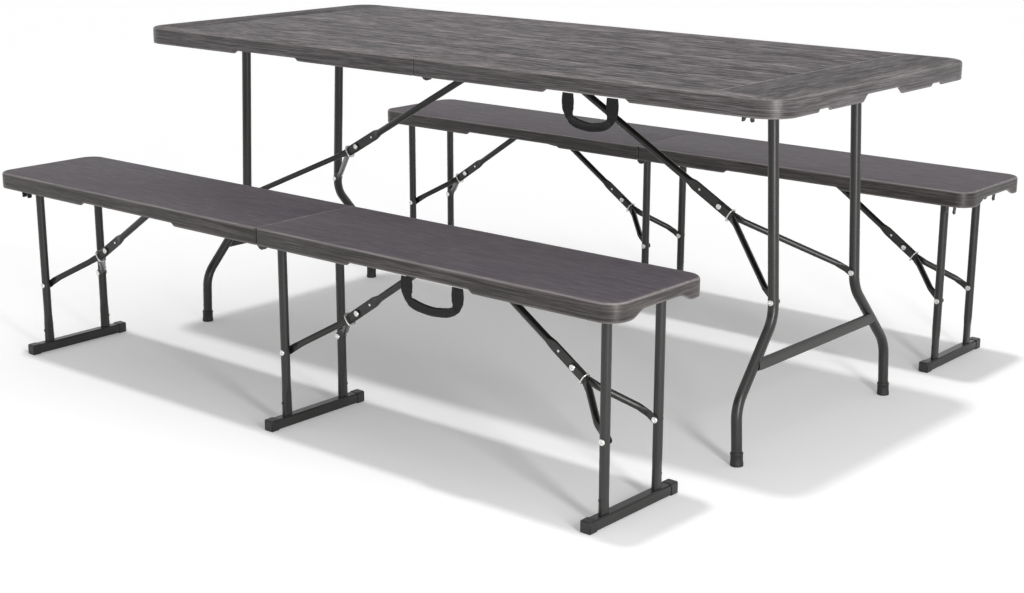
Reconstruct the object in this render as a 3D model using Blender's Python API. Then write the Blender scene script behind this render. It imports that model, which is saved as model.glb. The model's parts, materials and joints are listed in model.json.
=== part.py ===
"""A folding garden table with its two folding benches.

The table and both benches have blow-moulded tops that fold in half at a hinged seam, steel tube
leg sets that fold flat against the tops, and a two-part brace on each leg set that locks straight
with a wire ring. The back bench is the front bench turned half a turn. Metres, +Z up, +X along
the tops, and the origin lies on the ground under the middle of the table.
"""
import math

import bmesh
import bpy
from mathutils import Matrix, Vector

MM = 0.001
GAP = 0.3 * MM                  # running clearance between pieces that touch

# Table top, one half on each side of the seam
TABLE_LENGTH = 1.800
TABLE_WIDTH = 0.760
TABLE_HEIGHT = 0.745
TABLE_SKIRT = 0.040
TABLE_PANEL = 0.0125
TABLE_CORNER = 0.062
TABLE_NOTCH_START = 0.365
TABLE_NOTCH_END = 0.555
TABLE_POCKET_DEPTH = 0.0078
TABLE_X = 0.040
TABLE_Y = -0.0035

# Table end skirts: one wide cut-out with a small one on each side
END_NOTCH_HALF = 0.058
END_NOTCH_SLOPE = 0.022
END_NOTCH_RISE = 0.014
SMALL_NOTCH_INSET = 0.158       # from the table's edge to the middle of the small cut-out
SMALL_NOTCH_HALF = 0.015
SMALL_NOTCH_SLOPE = 0.008
SMALL_NOTCH_RISE = 0.0055

# Bench seats
BENCH_LENGTH = 1.810
BENCH_WIDTH = 0.280
BENCH_HEIGHT = 0.433
BENCH_SKIRT = 0.037
BENCH_PANEL = 0.012
BENCH_CORNER = 0.038
BENCH_NOTCH_START = 0.270
BENCH_NOTCH_END = 0.570
BENCH_END_NOTCH_HALF = 0.050
BENCH_END_NOTCH_SLOPE = 0.044
BENCH_POCKET_DEPTH = 0.0068
BENCH_GROOVE_DEPTH = 0.0024
BENCH_FRONT_X = -0.035
BENCH_BACK_X = -0.005
BENCH_Y = 0.6285

# Both kinds of top
SKIRT_WALL = 0.004
SKIRT_NOTCH_RISE = 0.0066
SKIRT_NOTCH_SLOPE = 0.014
TOP_EDGE_RADIUS = 0.007
SEAM_CORNER = 0.005
SEAM_WALL_BAND = 0.0015         # what is left of the seam wall under the panel
SEAM_OPENING_MARGIN = 0.015     # from the side strip's middle out to the end of the seam opening
POCKET_START = 0.009
POCKET_HALF_WIDTH = 0.020
POCKET_END_MARGIN = 0.045       # from the outer leg pivot back to the end of the pocket

# Table leg sets
TABLE_PIVOT_INSET_LEFT = 0.126   # from the table's end in to the leg pivot
TABLE_PIVOT_INSET_RIGHT = 0.150
TABLE_ROD_LEFT = 0.044           # from the seam out to the rod on which the brace turns
TABLE_ROD_RIGHT = 0.020
TABLE_PIVOT_RISE = 0.0137       # from the skirt's lower edge up to the leg pivot
TABLE_LEAN = math.radians(2.7)
TABLE_LEG_RADIUS = 0.011
TABLE_LEG_TOP = 0.0070
TABLE_LEG_INSET = 0.220         # from the table's edge in to a leg
TABLE_FOOT_INSET = 0.086        # the same at the foot
TABLE_BEND_HIGH = 0.270
TABLE_BEND_LOW = 0.120
BEND_RADIUS = 0.075
TABLE_CROSSBAR_Z = 0.190
CROSSBAR_HALF_HEIGHT = 0.0125
CROSSBAR_HALF_THICKNESS = 0.0055
CROSSBAR_OUTSET = 0.0074
CAP_RADIUS = 0.0133
CAP_HEIGHT = 0.026
CAP_BASE = 0.005

# Bench leg sets
BENCH_PIVOT_INSET_LEFT = 0.084
BENCH_PIVOT_MIDDLE = 0.012
BENCH_PIVOT_INSET_RIGHT = 0.061
BENCH_PIVOT_RISE = 0.0125
BENCH_LEG_RADIUS = 0.0095
BENCH_LEG_TOP = 0.0075
BENCH_LEG_INSET = 0.059
FOOT_BAR_INSET = 0.0045         # from the bench's edge in to the end of a foot bar
FOOT_BAR_WIDTH = 0.024
FOOT_BAR_HEIGHT = 0.024
FOOT_BAR_CAP = 0.023
FOOT_BAR_CAP_WALL = 0.0008

# Braces
TABLE_RIVET_Z = 0.303
TABLE_BRACE_RISE = 0.0213       # from the skirt's lower edge up to the brace pivot
TABLE_JOINT_RISE = 0.0188       # the same for the mid rivet when folded
TABLE_BRACE_RADIUS = 0.008
TABLE_FORK_RADIUS = 0.0066
TABLE_FLAT_HALF_HEIGHT = 0.012
TABLE_FLAT_LENGTH = 0.072
TABLE_TAB_HALF_HEIGHT = 0.009
BENCH_RIVET_Z = 0.160
BENCH_ROD_INSET = 0.0345        # from the folded foot back to the rod on which the brace turns
BENCH_BRACE_RISE = 0.0165
BENCH_JOINT_RISE = 0.0170
BENCH_BRACE_RADIUS = 0.0075
BENCH_FORK_RADIUS = 0.0070
BENCH_FLAT_HALF_HEIGHT = 0.0108
BENCH_FLAT_LENGTH = 0.055
BENCH_TAB_HALF_HEIGHT = 0.008
FLAT_HALF_THICKNESS = 0.003
FLAT_TIP = 0.036
FLAT_CORNER = 0.005
PRESS_LENGTH = 0.018
EYE_NECK = 0.003
EYE_BLEND = 0.028
TAB_THICKNESS = 0.0025
TAB_LENGTH = 0.034
TAB_BLEND = 0.024
ARM_END = 0.016                 # from the leg rivet back to where the arm is pressed flat
ARM_BLEND = 0.022
RIVET_RADIUS = 0.003
RIVET_HEAD_RADIUS = 0.0055
RIVET_HEAD_THICKNESS = 0.0018
EYE_RADIUS = 0.0062
EYE_HALF_WIDTH = 0.007
RING_SEAT = 0.031
RING_WIRE = 0.0015
RING_HALF_WIDTH = 0.009
RING_SLACK = 0.0043             # room under the fork's tabs for the ring to slide off them

# Frames under the tops
STRIP_WIDTH = 0.020
STRIP_THICKNESS = 0.002
STRIP_START = 0.008
STRIP_OVERRUN = 0.020
TABLE_STRIP_INSET = 0.049       # from the top's edge in to the middle of a side strip
BENCH_STRIP_INSET = 0.022
EAR_INSET = 0.0075              # from the side strip's middle in to an ear
EAR_HALF_WIDTH = 0.0115
EAR_RISE = 0.0009               # from the skirt's lower edge up to the ears
EAR_WALL = 0.0022
PIVOT_TUBE_RADIUS = 0.008
BRACE_ROD_RADIUS = 0.004
ROD_EAR_HALF_WIDTH = 0.0065
CROSS_STRIP_HALF_WIDTH = 0.008
CROSS_STRIP_THICKNESS = 0.0015
CHEEK_THICKNESS = 0.0025
HINGE_PLATE = 0.004
HINGE_OUTSET = 0.004            # from the side strip's middle out to the hinge plates
TABLE_HINGE_RADIUS = 0.014
BENCH_HINGE_RADIUS = 0.012
HINGE_ARM = 0.036
HINGE_PIN_RADIUS = 0.003
HINGE_PIN_HEAD = 0.0055
HINGE_SIDES = 12

# Closing clips
CLIP_WIDTH = 0.012
CLIP_WALL = 0.0033
CLIP_PLAY = 0.0008
CLIP_BASE = 0.003
CLIP_REACH = 0.0112
TABLE_CLIP_INSET = 0.095        # from the top's edge in to the middle of a clip
BENCH_CLIP_INSET = 0.040

# Carry handles
STRAP_THICKNESS = 0.003
STRAP_WIDTH = 0.024
GRIP_RADIUS = 0.0092
TABLE_HANDLE_LEFT = 0.4165
TABLE_HANDLE_RIGHT = 0.526
TABLE_HANDLE_DROP = 0.062
BENCH_HANDLE_LEFT = 0.417
BENCH_HANDLE_RIGHT = 0.5455
BENCH_HANDLE_DROP = 0.056
STRAP_END_ANGLES = (math.radians(76), math.radians(45))
STRAP_SHARE = 0.50              # how far down the drop the strap stays flat
NECK_SHARE = 0.72
NECK_INSET = 0.003
GRIP_SHARE = 0.86
GRIP_INSET = 0.010
SHOULDER_SHARE = 0.97
SHOULDER_INSET = 0.030

TUBE_SIDES = 10
BENCH_TUBE_SIDES = 8
SMALL_SIDES = 6
HOLE_SIDES = 8
NOTCH_STEPS = 3
BEND_STEPS = 4
OVERLAP = 0.5 * MM              # how far shapes that are joined reach into each other


def clear_scene():
    """Start from an empty scene."""
    for old in list(bpy.data.objects):
        bpy.data.objects.remove(old, do_unlink=True)


def new_collection(name):
    """A collection linked to the scene."""
    group = bpy.data.collections.new(name)
    bpy.context.scene.collection.children.link(group)
    return group


def new_material(name, colour, roughness, metallic):
    """A plain material with the piece's colour and finish."""
    made = bpy.data.materials.new(name)
    made.use_nodes = True
    shader = made.node_tree.nodes["Principled BSDF"]
    shader.inputs["Base Color"].default_value = (*colour, 1.0)
    shader.inputs["Roughness"].default_value = roughness
    shader.inputs["Metallic"].default_value = metallic
    return made


def new_empty(name, holder, location, turn=0.0):
    """An empty on a joint's axis, turned about Z.

    A holder is an empty and the point at which it stands, in the frame that its pieces are modelled
    in. The location is a point of that frame, and so is the place of every piece given to the holder.
    """
    parent, stand = holder if holder else (None, Vector((0, 0, 0)))
    made = bpy.data.objects.new(name, None)
    made.location = Vector(location) - stand
    made.rotation_euler = (0.0, 0.0, turn)
    made.parent = parent
    PARTS.objects.link(made)
    return made


def mesh_object(name, shape):
    """An object in the scene from a bmesh."""
    bmesh.ops.recalc_face_normals(shape, faces=shape.faces)
    data = bpy.data.meshes.new(name)
    shape.to_mesh(data)
    shape.free()
    made = bpy.data.objects.new(name, data)
    bpy.context.scene.collection.objects.link(made)
    return made


def box(name, low, high):
    """A box between two corners."""
    shape = bmesh.new()
    bmesh.ops.create_cube(shape, size=1.0)
    size = Vector(high) - Vector(low)
    bmesh.ops.scale(shape, vec=size, verts=shape.verts)
    bmesh.ops.translate(shape, vec=(Vector(low) + Vector(high)) / 2, verts=shape.verts)
    return mesh_object(name, shape)


def rod(name, start, end, radius, sides=TUBE_SIDES):
    """A round bar between two points."""
    shape = bmesh.new()
    along = Vector(end) - Vector(start)
    bmesh.ops.create_cone(shape, cap_ends=True, segments=sides, radius1=radius, radius2=radius,
                          depth=along.length)
    turn = Vector((0, 0, 1)).rotation_difference(along.normalized()).to_matrix().to_4x4()
    bmesh.ops.transform(shape, matrix=Matrix.Translation((Vector(start) + Vector(end)) / 2) @ turn,
                        verts=shape.verts)
    return mesh_object(name, shape)


def bore(name, start, end, radius, sides=HOLE_SIDES):
    """A cutter for a hole in which a bar of this radius turns with the running clearance."""
    return rod(name, start, end, (radius + GAP) / math.cos(math.pi / sides), sides)


def slab(name, outline, low, high):
    """A flat outline, given as (x, y) points, extruded from z = low to z = high."""
    curve = bpy.data.curves.new(name, "CURVE")
    curve.dimensions = "2D"
    curve.fill_mode = "BOTH"
    curve.extrude = (high - low) / 2
    spline = curve.splines.new("POLY")
    spline.points.add(len(outline) - 1)
    for point, (x, y) in zip(spline.points, outline):
        point.co = (x, y, 0.0, 1.0)
    spline.use_cyclic_u = True
    guide = bpy.data.objects.new(name, curve)
    guide.location.z = (high + low) / 2
    return curve_to_mesh(guide)


def tube(name, points, radius, sides, closed=False):
    """A round tube or wire through points, with capped ends or as a closed loop."""
    curve = bpy.data.curves.new(name, "CURVE")
    curve.dimensions = "3D"
    curve.bevel_depth = radius
    curve.bevel_resolution = sides // 2 - 2
    curve.use_fill_caps = True
    spline = curve.splines.new("POLY")
    spline.points.add(len(points) - 1)
    for point, place in zip(spline.points, points):
        point.co = (*place, 1.0)
    spline.use_cyclic_u = closed
    return curve_to_mesh(bpy.data.objects.new(name, curve))


def rounded(corners, radius, steps):
    """The path through corners, with an arc of this radius in place of each inner corner."""
    corners = [Vector(corner) for corner in corners]
    path = [corners[0]]
    for before, corner, after in zip(corners, corners[1:], corners[2:]):
        back, on = (before - corner).normalized(), (after - corner).normalized()
        half = back.angle(on) / 2
        centre = corner + (back + on).normalized() * radius / math.sin(half)
        first = corner + back * radius / math.tan(half) - centre
        last = corner + on * radius / math.tan(half) - centre
        axis, angle = first.cross(last), first.angle(last)
        path += [centre + Matrix.Rotation(angle * step / steps, 3, axis) @ first for step in range(steps + 1)]
    return path + [corners[-1]]


def curve_to_mesh(guide):
    """The mesh of a curve object, with its caps welded."""
    name = guide.name
    bpy.context.scene.collection.objects.link(guide)
    bpy.context.view_layer.update()
    evaluated = guide.evaluated_get(bpy.context.evaluated_depsgraph_get())
    data = bpy.data.meshes.new_from_object(evaluated)
    data.transform(guide.matrix_world)
    bpy.data.objects.remove(guide, do_unlink=True)
    shape = bmesh.new()
    shape.from_mesh(data)
    bmesh.ops.remove_doubles(shape, verts=shape.verts, dist=0.01 * MM)
    bpy.data.meshes.remove(data)
    return mesh_object(name, shape)


def sweep(name, stations, normal, sides=TUBE_SIDES):
    """A tube through stations whose section changes, in a flat path.

    Each station is (centre, half size across the path, half size along the normal, power).
    A power of 2 is an ellipse and a high one is close to a rectangle.
    """
    shape = bmesh.new()
    normal = Vector(normal).normalized()
    centres = [Vector(station[0]) for station in stations]
    rings = []
    for index, (_, half_side, half_rise, power) in enumerate(stations):
        before = centres[max(index - 1, 0)]
        after = centres[min(index + 1, len(centres) - 1)]
        side = (after - before).normalized().cross(normal)
        ring = []
        for step in range(sides):
            angle = math.tau * (step + 0.5) / sides
            reach = math.copysign(abs(math.cos(angle)) ** (2 / power), math.cos(angle))
            rise = math.copysign(abs(math.sin(angle)) ** (2 / power), math.sin(angle))
            place = centres[index] + side * half_side * reach + normal * half_rise * rise
            ring.append(shape.verts.new(place))
        rings.append(ring)
    for first, second in zip(rings, rings[1:]):
        for step in range(sides):
            after = (step + 1) % sides
            shape.faces.new((first[step], first[after], second[after], second[step]))
    shape.faces.new(rings[0])
    shape.faces.new(rings[-1])
    return mesh_object(name, shape)


def combine(body, others, operation="UNION"):
    """Join or cut a body with others, which are used up."""
    for other in others:
        step = body.modifiers.new(operation.title(), "BOOLEAN")
        step.operation = operation
        step.object = other
    bpy.context.view_layer.update()
    evaluated = body.evaluated_get(bpy.context.evaluated_depsgraph_get())
    data = bpy.data.meshes.new_from_object(evaluated)
    body.modifiers.clear()
    shape = bmesh.new()
    shape.from_mesh(data)
    bmesh.ops.triangulate(shape, faces=shape.faces)
    shape.to_mesh(data)
    shape.free()
    body.data = data
    for other in others:
        bpy.data.objects.remove(other, do_unlink=True)
    return body


def place(piece, name, holder, finish):
    """Name a finished piece and hang it on its holder, with its mesh where it was modelled."""
    parent, stand = holder
    piece.name = name
    piece.data.name = name
    piece.data.transform(Matrix.Translation(-stand))
    piece.data.materials.clear()
    piece.data.materials.append(finish)
    piece.data.shade_smooth()
    piece.data.set_sharp_from_angle(angle=math.radians(35))
    piece.parent = parent
    for group in list(piece.users_collection):
        group.objects.unlink(piece)
    PARTS.objects.link(piece)
    return piece


def arc(centre, radius, start, end, steps):
    """Points on a circle, angles in quarter turns."""
    points = []
    for index in range(steps + 1):
        angle = math.pi / 2 * (start + (end - start) * index / steps)
        points.append((centre[0] + radius * math.cos(angle), centre[1] + radius * math.sin(angle)))
    return points


def half_outline(seam, end, half_width, corner, seam_corner, steps):
    """Outline of one half of a top, from the seam at low x to its end at high x."""
    points = arc((seam + seam_corner, -half_width + seam_corner), seam_corner, 2, 3, 2)
    points += arc((end - corner, -half_width + corner), corner, 3, 4, steps)
    points += arc((end - corner, half_width - corner), corner, 0, 1, steps)
    points += arc((seam + seam_corner, half_width - seam_corner), seam_corner, 1, 2, 2)
    return points


def notch(name, centre, half_length, slope, rise, skirt_bottom, across):
    """A cutter with S-shaped ends for the lower edge of a skirt, running along x or y."""
    profile = [(half_length + slope, skirt_bottom - 2 * MM)]
    for step in range(NOTCH_STEPS + 1):
        share = step / NOTCH_STEPS
        climb = (1 - math.cos(math.pi * share)) / 2
        profile.append((half_length + slope * (1 - share), skirt_bottom + rise * climb))
    profile += [(-x, z) for x, z in reversed(profile)]
    cutter = slab(name, profile, -1.5 * SKIRT_WALL, 1.5 * SKIRT_WALL)
    stand = Matrix.Rotation(math.radians(90), 4, "X")
    if across:
        stand = Matrix.Rotation(math.radians(90), 4, "Z") @ stand
    cutter.data.transform(Matrix.Translation(centre) @ stand)
    return cutter


def top_half(name, item, holder, finish, direction):
    """One moulded half: a rounded panel with a skirt, its cut-outs and the open seam side."""
    length, width, height = item["length"] / 2, item["width"] / 2, item["height"]
    bottom = height - item["skirt"]
    floor = height - item["panel"]
    wall = SKIRT_WALL
    outer = slab(name, half_outline(GAP, length, width, item["corner"], SEAM_CORNER, 5), bottom, height)
    shape = bmesh.new()
    shape.from_mesh(outer.data)
    rim = [edge for edge in shape.edges if all(vert.co.z > height - MM for vert in edge.verts)
           and any(face.normal.z < 0.5 for face in edge.link_faces)]
    bmesh.ops.bevel(shape, geom=rim, offset=TOP_EDGE_RADIUS, segments=2, affect="EDGES")
    shape.to_mesh(outer.data)
    shape.free()
    inner = half_outline(GAP + wall, length - wall, width - wall, item["corner"] - wall, MM, 5)
    cutters = [slab("recess", inner, bottom - 2 * MM, floor)]
    middle = (item["notch_start"] + item["notch_end"]) / 2
    half = (item["notch_end"] - item["notch_start"]) / 2
    for side in (-1, 1):
        centre = (middle, side * (width - wall / 2), 0.0)
        cutters.append(notch("handle_notch", centre, half, SKIRT_NOTCH_SLOPE, SKIRT_NOTCH_RISE, bottom, False))
        if item["groove"]:
            low_y = side * item["strip_y"] - STRIP_WIDTH / 2 - MM
            high_y = side * item["strip_y"] + STRIP_WIDTH / 2 + MM
            cutters.append(box("groove", (GAP + wall + MM, low_y, floor - MM),
                               (length - item["corner"], high_y, floor + item["groove"])))
    for y, half_length, slope, rise in item["end_notches"]:
        cutters.append(notch("end_notch", (length - wall / 2, y, 0.0), half_length, slope, rise, bottom, True))
    opening = item["strip_y"] + SEAM_OPENING_MARGIN
    cutters.append(box("seam_opening", (-2 * MM, -opening, bottom - 2 * MM),
                       (wall + 2 * MM, opening, floor - SEAM_WALL_BAND)))
    outermost = max(abs(one["pivot_x"]) for one in item["sets"])
    cutters.append(box("brace_pocket", (POCKET_START, -POCKET_HALF_WIDTH, floor - MM),
                       (outermost - POCKET_END_MARGIN, POCKET_HALF_WIDTH, floor + item["pocket"])))
    half_top = combine(outer, cutters, "DIFFERENCE")
    if direction < 0:
        half_top.data.transform(Matrix.Rotation(math.pi, 4, "Z"))
    return place(half_top, name, holder, finish)


def frame_half(name, item, holder, finish, direction):
    """The steel frame under one half: side strips, pivot ears, brace rods and hinge plates."""
    bottom = item["height"] - item["skirt"]
    strip_top = item["height"] - item["panel"] - GAP + item["groove"]
    strip_low = strip_top - STRIP_THICKNESS
    strip_y = item["strip_y"]
    sets = [one for one in item["sets"] if one["half"] == direction]
    outermost = max(abs(one["pivot_x"]) for one in sets)
    pieces = []
    holes = []
    for side in (-1, 1):
        pieces.append(box("strip", (direction * STRIP_START, side * strip_y - STRIP_WIDTH / 2, strip_low),
                          (direction * (outermost + STRIP_OVERRUN), side * strip_y + STRIP_WIDTH / 2,
                           strip_top)))
        plate_y = side * (strip_y + HINGE_OUTSET - direction * (HINGE_PLATE + GAP) / 2)
        plate = (plate_y - HINGE_PLATE / 2, plate_y + HINGE_PLATE / 2)
        pieces += hinge_plate(item, direction, plate_y, strip_low)
        ear = (side * ear_offset(item) - HINGE_PLATE / 2, side * ear_offset(item) + HINGE_PLATE / 2)
        if direction > 0 or item["loose_pins"]:
            holes.append(bore("pin_hole", (0, plate[0] - MM, item["seam"]), (0, plate[1] + MM, item["seam"]),
                              HINGE_PIN_RADIUS))
        else:
            pieces.append(hinge_pin("pin", side, item))
        for one in sets:
            near, far = one["pivot_x"] - EAR_HALF_WIDTH, one["pivot_x"] + EAR_HALF_WIDTH
            pieces.append(box("ear", (near, ear[0], bottom + EAR_RISE),
                              (far, ear[1], one["pivot_z"] + PIVOT_TUBE_RADIUS + EAR_WALL)))
            neck = max(near, STRIP_START) if direction > 0 else near
            pieces.append(box("ear_neck", (neck, ear[0], one["pivot_z"] + 2 * MM),
                              (far, ear[1], strip_low + MM)))
            holes.append(bore("bearing", (one["pivot_x"], ear[0] - MM, one["pivot_z"]),
                              (one["pivot_x"], ear[1] + MM, one["pivot_z"]), PIVOT_TUBE_RADIUS))
    for one in sets:
        pieces += brace_mounting(item, one, strip_low)
    frame = combine(pieces[0], pieces[1:])
    return place(combine(frame, holes, "DIFFERENCE"), name, holder, finish)


def ear_offset(item):
    """How far from the middle the ears that carry the pivot tubes lie."""
    return item["strip_y"] - EAR_INSET


def brace_mounting(item, one, strip_low):
    """The rod on which a brace turns, between the side strips or in a bracket between the legs."""
    x, z = one["pivot_x"] + one["inward"] * one["reach"], one["brace_z"]
    ear = ROD_EAR_HALF_WIDTH
    pieces = []
    if item["full_rods"]:
        half = ear_offset(item)
        for side in (-1, 1):
            pieces.append(box("rod_ear", (x - ear, side * half - HINGE_PLATE / 2, z - ear),
                              (x + ear, side * half + HINGE_PLATE / 2, strip_low + MM)))
        pieces.append(rod("brace_rod", (x, -half, z), (x, half, z), BRACE_ROD_RADIUS, SMALL_SIDES))
        return pieces
    roof = item["height"] - item["panel"] - GAP
    cross_low = roof - CROSS_STRIP_THICKNESS
    wide = CROSS_STRIP_HALF_WIDTH
    inner = item["strip_y"] - STRIP_WIDTH / 2
    pieces.append(box("cross_strip", (x - wide, -inner - MM, cross_low), (x + wide, inner + MM, roof)))
    for side in (-1, 1):
        foot = sorted((side * inner, side * (inner + STRIP_WIDTH / 2)))
        pieces.append(box("cross_foot", (x - wide, foot[0], cross_low), (x + wide, foot[1], strip_low + MM)))
        cheek = sorted((side * (EYE_HALF_WIDTH + GAP), side * (EYE_HALF_WIDTH + GAP + CHEEK_THICKNESS)))
        pieces.append(box("cheek", (x - ear, cheek[0], z - ear), (x + ear, cheek[1], cross_low + OVERLAP)))
    half = EYE_HALF_WIDTH + GAP + CHEEK_THICKNESS + MM
    pieces.append(rod("brace_rod", (x, -half, z), (x, half, z), BRACE_ROD_RADIUS, SMALL_SIDES))
    return pieces


def hinge_plate(item, direction, plate_y, strip_low):
    """A flat arm from the side strip to the hinge axis, with a round end."""
    seam, radius = item["seam"], item["hinge_radius"]
    low_y, high_y = plate_y - HINGE_PLATE / 2, plate_y + HINGE_PLATE / 2
    eye = rod("hinge_eye", (0, low_y, seam), (0, high_y, seam), radius, HINGE_SIDES)
    bottom = item["height"] - item["skirt"]
    profile = [(0.0, seam - radius * 0.95), (direction * HINGE_ARM * 0.62, bottom + EAR_RISE),
               (direction * HINGE_ARM, strip_low - 6 * MM), (direction * HINGE_ARM, strip_low + MM),
               (direction * STRIP_START, strip_low + MM),
               (direction * radius * 0.6, seam + radius * 0.75), (0.0, seam + radius * 0.9)]
    arm = slab("hinge_arm", profile, -HINGE_PLATE / 2, HINGE_PLATE / 2)
    arm.data.transform(Matrix.Translation((0, plate_y, 0)) @ Matrix.Rotation(math.radians(90), 4, "X"))
    return [eye, arm]


def hinge_pin(name, side, item):
    """A headed pin across both hinge plates."""
    reach = HINGE_PLATE + 2 * GAP
    y, seam = side * (item["strip_y"] + HINGE_OUTSET), item["seam"]
    shaft = rod(name, (0, y - reach - MM, seam), (0, y + reach + MM, seam), HINGE_PIN_RADIUS, SMALL_SIDES)
    heads = [rod("head", (0, y + end * reach, seam), (0, y + end * (reach + 2 * MM), seam),
                 HINGE_PIN_HEAD, SMALL_SIDES) for end in (-1, 1)]
    return combine(shaft, heads)


def linkage(one):
    """Where the brace's joints lie, in a plane with the leg pivot at (0, 0) and x inward.

    The brace is straight when the leg stands. Folded, the mid rivet lies at a chosen height, and
    that fixes how the straight length is shared between the upper link and the fork.
    """
    eye = Vector((one["reach"], one["brace_z"] - one["pivot_z"]))
    leg = Vector((-math.sin(one["lean"]), -math.cos(one["lean"])))
    rivet = leg * one["rivet_distance"]
    straight = (eye - rivet).length
    folded_rivet = Vector((one["rivet_distance"], 0.0))
    rise = one["joint_rise"]
    # The folded mid rivet is on the ellipse round the folded leg rivet and the brace pivot.
    slope = 2 * (eye.x - folded_rivet.x)
    constant = eye.x ** 2 + (eye.y - rise) ** 2 - folded_rivet.x ** 2 - (folded_rivet.y - rise) ** 2
    base = (straight ** 2 + constant) / (2 * straight)
    rate = slope / (2 * straight)
    square = 1 - rate ** 2
    linear = 2 * (base * rate - eye.x)
    free = eye.x ** 2 + (eye.y - rise) ** 2 - base ** 2
    folded_joint = Vector(((-linear - math.sqrt(linear ** 2 - 4 * square * free)) / (2 * square), rise))
    fork = (folded_joint - folded_rivet).length
    joint = rivet + (eye - rivet).normalized() * fork
    return {"eye": eye, "rivet": rivet, "joint": joint, "upper": straight - fork, "fork": fork,
            "folded_joint": folded_joint, "folded_rivet": folded_rivet}


def turned(piece, start, toward):
    """Lay a piece modelled along +x from the origin onto a line in the plane y = 0, both in (x, z)."""
    along = toward - start
    spin = Matrix.Rotation(-math.atan2(along.y, along.x), 4, "Y")
    piece.data.transform(Matrix.Translation((start.x, 0, start.y)) @ spin)
    return piece


def brace_upper(one, joints):
    """A tube from its eye, pressed flat towards the mid rivet, which it reaches past."""
    length = joints["upper"]
    radius, half_height = one["brace_radius"], one["flat_half_height"]
    flat_start = length - one["flat_length"]
    tip = length + FLAT_TIP
    stations = [((EYE_NECK, 0, 0), EYE_HALF_WIDTH * 0.7, EYE_RADIUS * 0.85, 3),
                ((EYE_BLEND, 0, 0), radius, radius, 2),
                ((flat_start - PRESS_LENGTH, 0, 0), radius, radius, 2),
                ((flat_start - PRESS_LENGTH * 0.4, 0, 0), radius * 0.62, radius * 1.22, 2.5),
                ((flat_start, 0, 0), FLAT_HALF_THICKNESS, half_height, 5),
                ((tip - FLAT_CORNER, 0, 0), FLAT_HALF_THICKNESS, half_height, 6),
                ((tip, 0, 0), FLAT_HALF_THICKNESS, half_height * 0.72, 6)]
    body = sweep("upper", stations, (0, 0, 1), TUBE_SIDES)
    eye = rod("eye", (0, -EYE_HALF_WIDTH, 0), (0, EYE_HALF_WIDTH, 0), EYE_RADIUS, TUBE_SIDES)
    reach = 2 * radius
    holes = [bore("rod_hole", (0, -reach, 0), (0, reach, 0), BRACE_ROD_RADIUS),
             bore("rivet_hole", (length, -reach, 0), (length, reach, 0), RIVET_RADIUS)]
    body = combine(combine(body, [eye]), holes, "DIFFERENCE")
    return turned(body, joints["eye"], joints["joint"])


def brace_fork(one, joints):
    """Two arms that clasp the upper link at the mid rivet and spread to the inner side of each leg."""
    length = joints["fork"]
    tab_y = FLAT_HALF_THICKNESS + GAP + TAB_THICKNESS / 2
    tab = TAB_THICKNESS / 2
    radius, half_height = one["fork_radius"], one["tab_half_height"]
    head = tab_y + tab + RIVET_HEAD_THICKNESS
    end_y = one["leg_y"] - one["leg_radius"] - GAP - tab
    end_half = radius * 1.15
    slope = (end_y - tab_y) / (length - TAB_LENGTH - ARM_END)
    pieces = [rod("mid_rivet", (0, OVERLAP - head, 0), (0, head - OVERLAP, 0), RIVET_RADIUS, SMALL_SIDES)]
    for side in (-1, 1):
        stations = [(-0.95 * half_height, tab_y, tab, half_height * 0.35, 5),
                    (-0.62 * half_height, tab_y, tab, half_height * 0.80, 5),
                    (0.0, tab_y, tab, half_height, 6),
                    (TAB_LENGTH, tab_y, tab, half_height, 6),
                    (TAB_LENGTH + TAB_BLEND, tab_y + slope * TAB_BLEND * 0.75, radius, radius, 2.2),
                    (length - ARM_END - ARM_BLEND, end_y - slope * ARM_BLEND * 0.6, radius, radius, 2),
                    (length - ARM_END, end_y, tab, end_half, 4),
                    (length, end_y, tab, end_half, 4),
                    (length + end_half * 0.9, end_y, tab, end_half * 0.5, 4)]
        path = [((x, side * y, 0), wide, high, power) for x, y, wide, high, power in stations]
        pieces.append(sweep("arm", path, (0, 0, 1), BENCH_TUBE_SIDES))
        pieces.append(rod("rivet_head", (0, side * (head - RIVET_HEAD_THICKNESS - OVERLAP), 0),
                          (0, side * head, 0), RIVET_HEAD_RADIUS, SMALL_SIDES))
        inner = side * (end_y - tab)
        pieces.append(rod("leg_rivet_head", (length, inner + side * OVERLAP, 0),
                          (length, inner - side * RIVET_HEAD_THICKNESS, 0), RIVET_HEAD_RADIUS, SMALL_SIDES))
    body = combine(pieces[0], pieces[1:])
    return turned(body, joints["joint"], joints["rivet"])


def lock_ring(one, joints):
    """A loose wire ring round the flat link and the fork tabs, just past the mid rivet."""
    top = one["flat_half_height"] + GAP + RING_WIRE
    low = one["tab_half_height"] + RING_SLACK + RING_WIRE
    half_height, centre = (top + low) / 2, (low - top) / 2
    half_width = RING_HALF_WIDTH + RING_WIRE
    points = []
    for step in range(12):
        angle = math.tau * (step + 0.5) / 12
        across = math.copysign(abs(math.cos(angle)) ** 0.4, math.cos(angle)) * half_width
        up = math.copysign(abs(math.sin(angle)) ** 0.4, math.sin(angle)) * half_height
        points.append((joints["upper"] + RING_SEAT, across, centre + up))
    return turned(tube("ring", points, RING_WIRE, SMALL_SIDES, True), joints["eye"], joints["joint"])


def pivot_tube(item):
    """The tube on which a leg set turns in the ears of its frame."""
    half = ear_offset(item) + HINGE_PLATE / 2
    return rod("pivot_tube", (0, -half, 0), (0, half, 0), PIVOT_TUBE_RADIUS, TUBE_SIDES)


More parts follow.
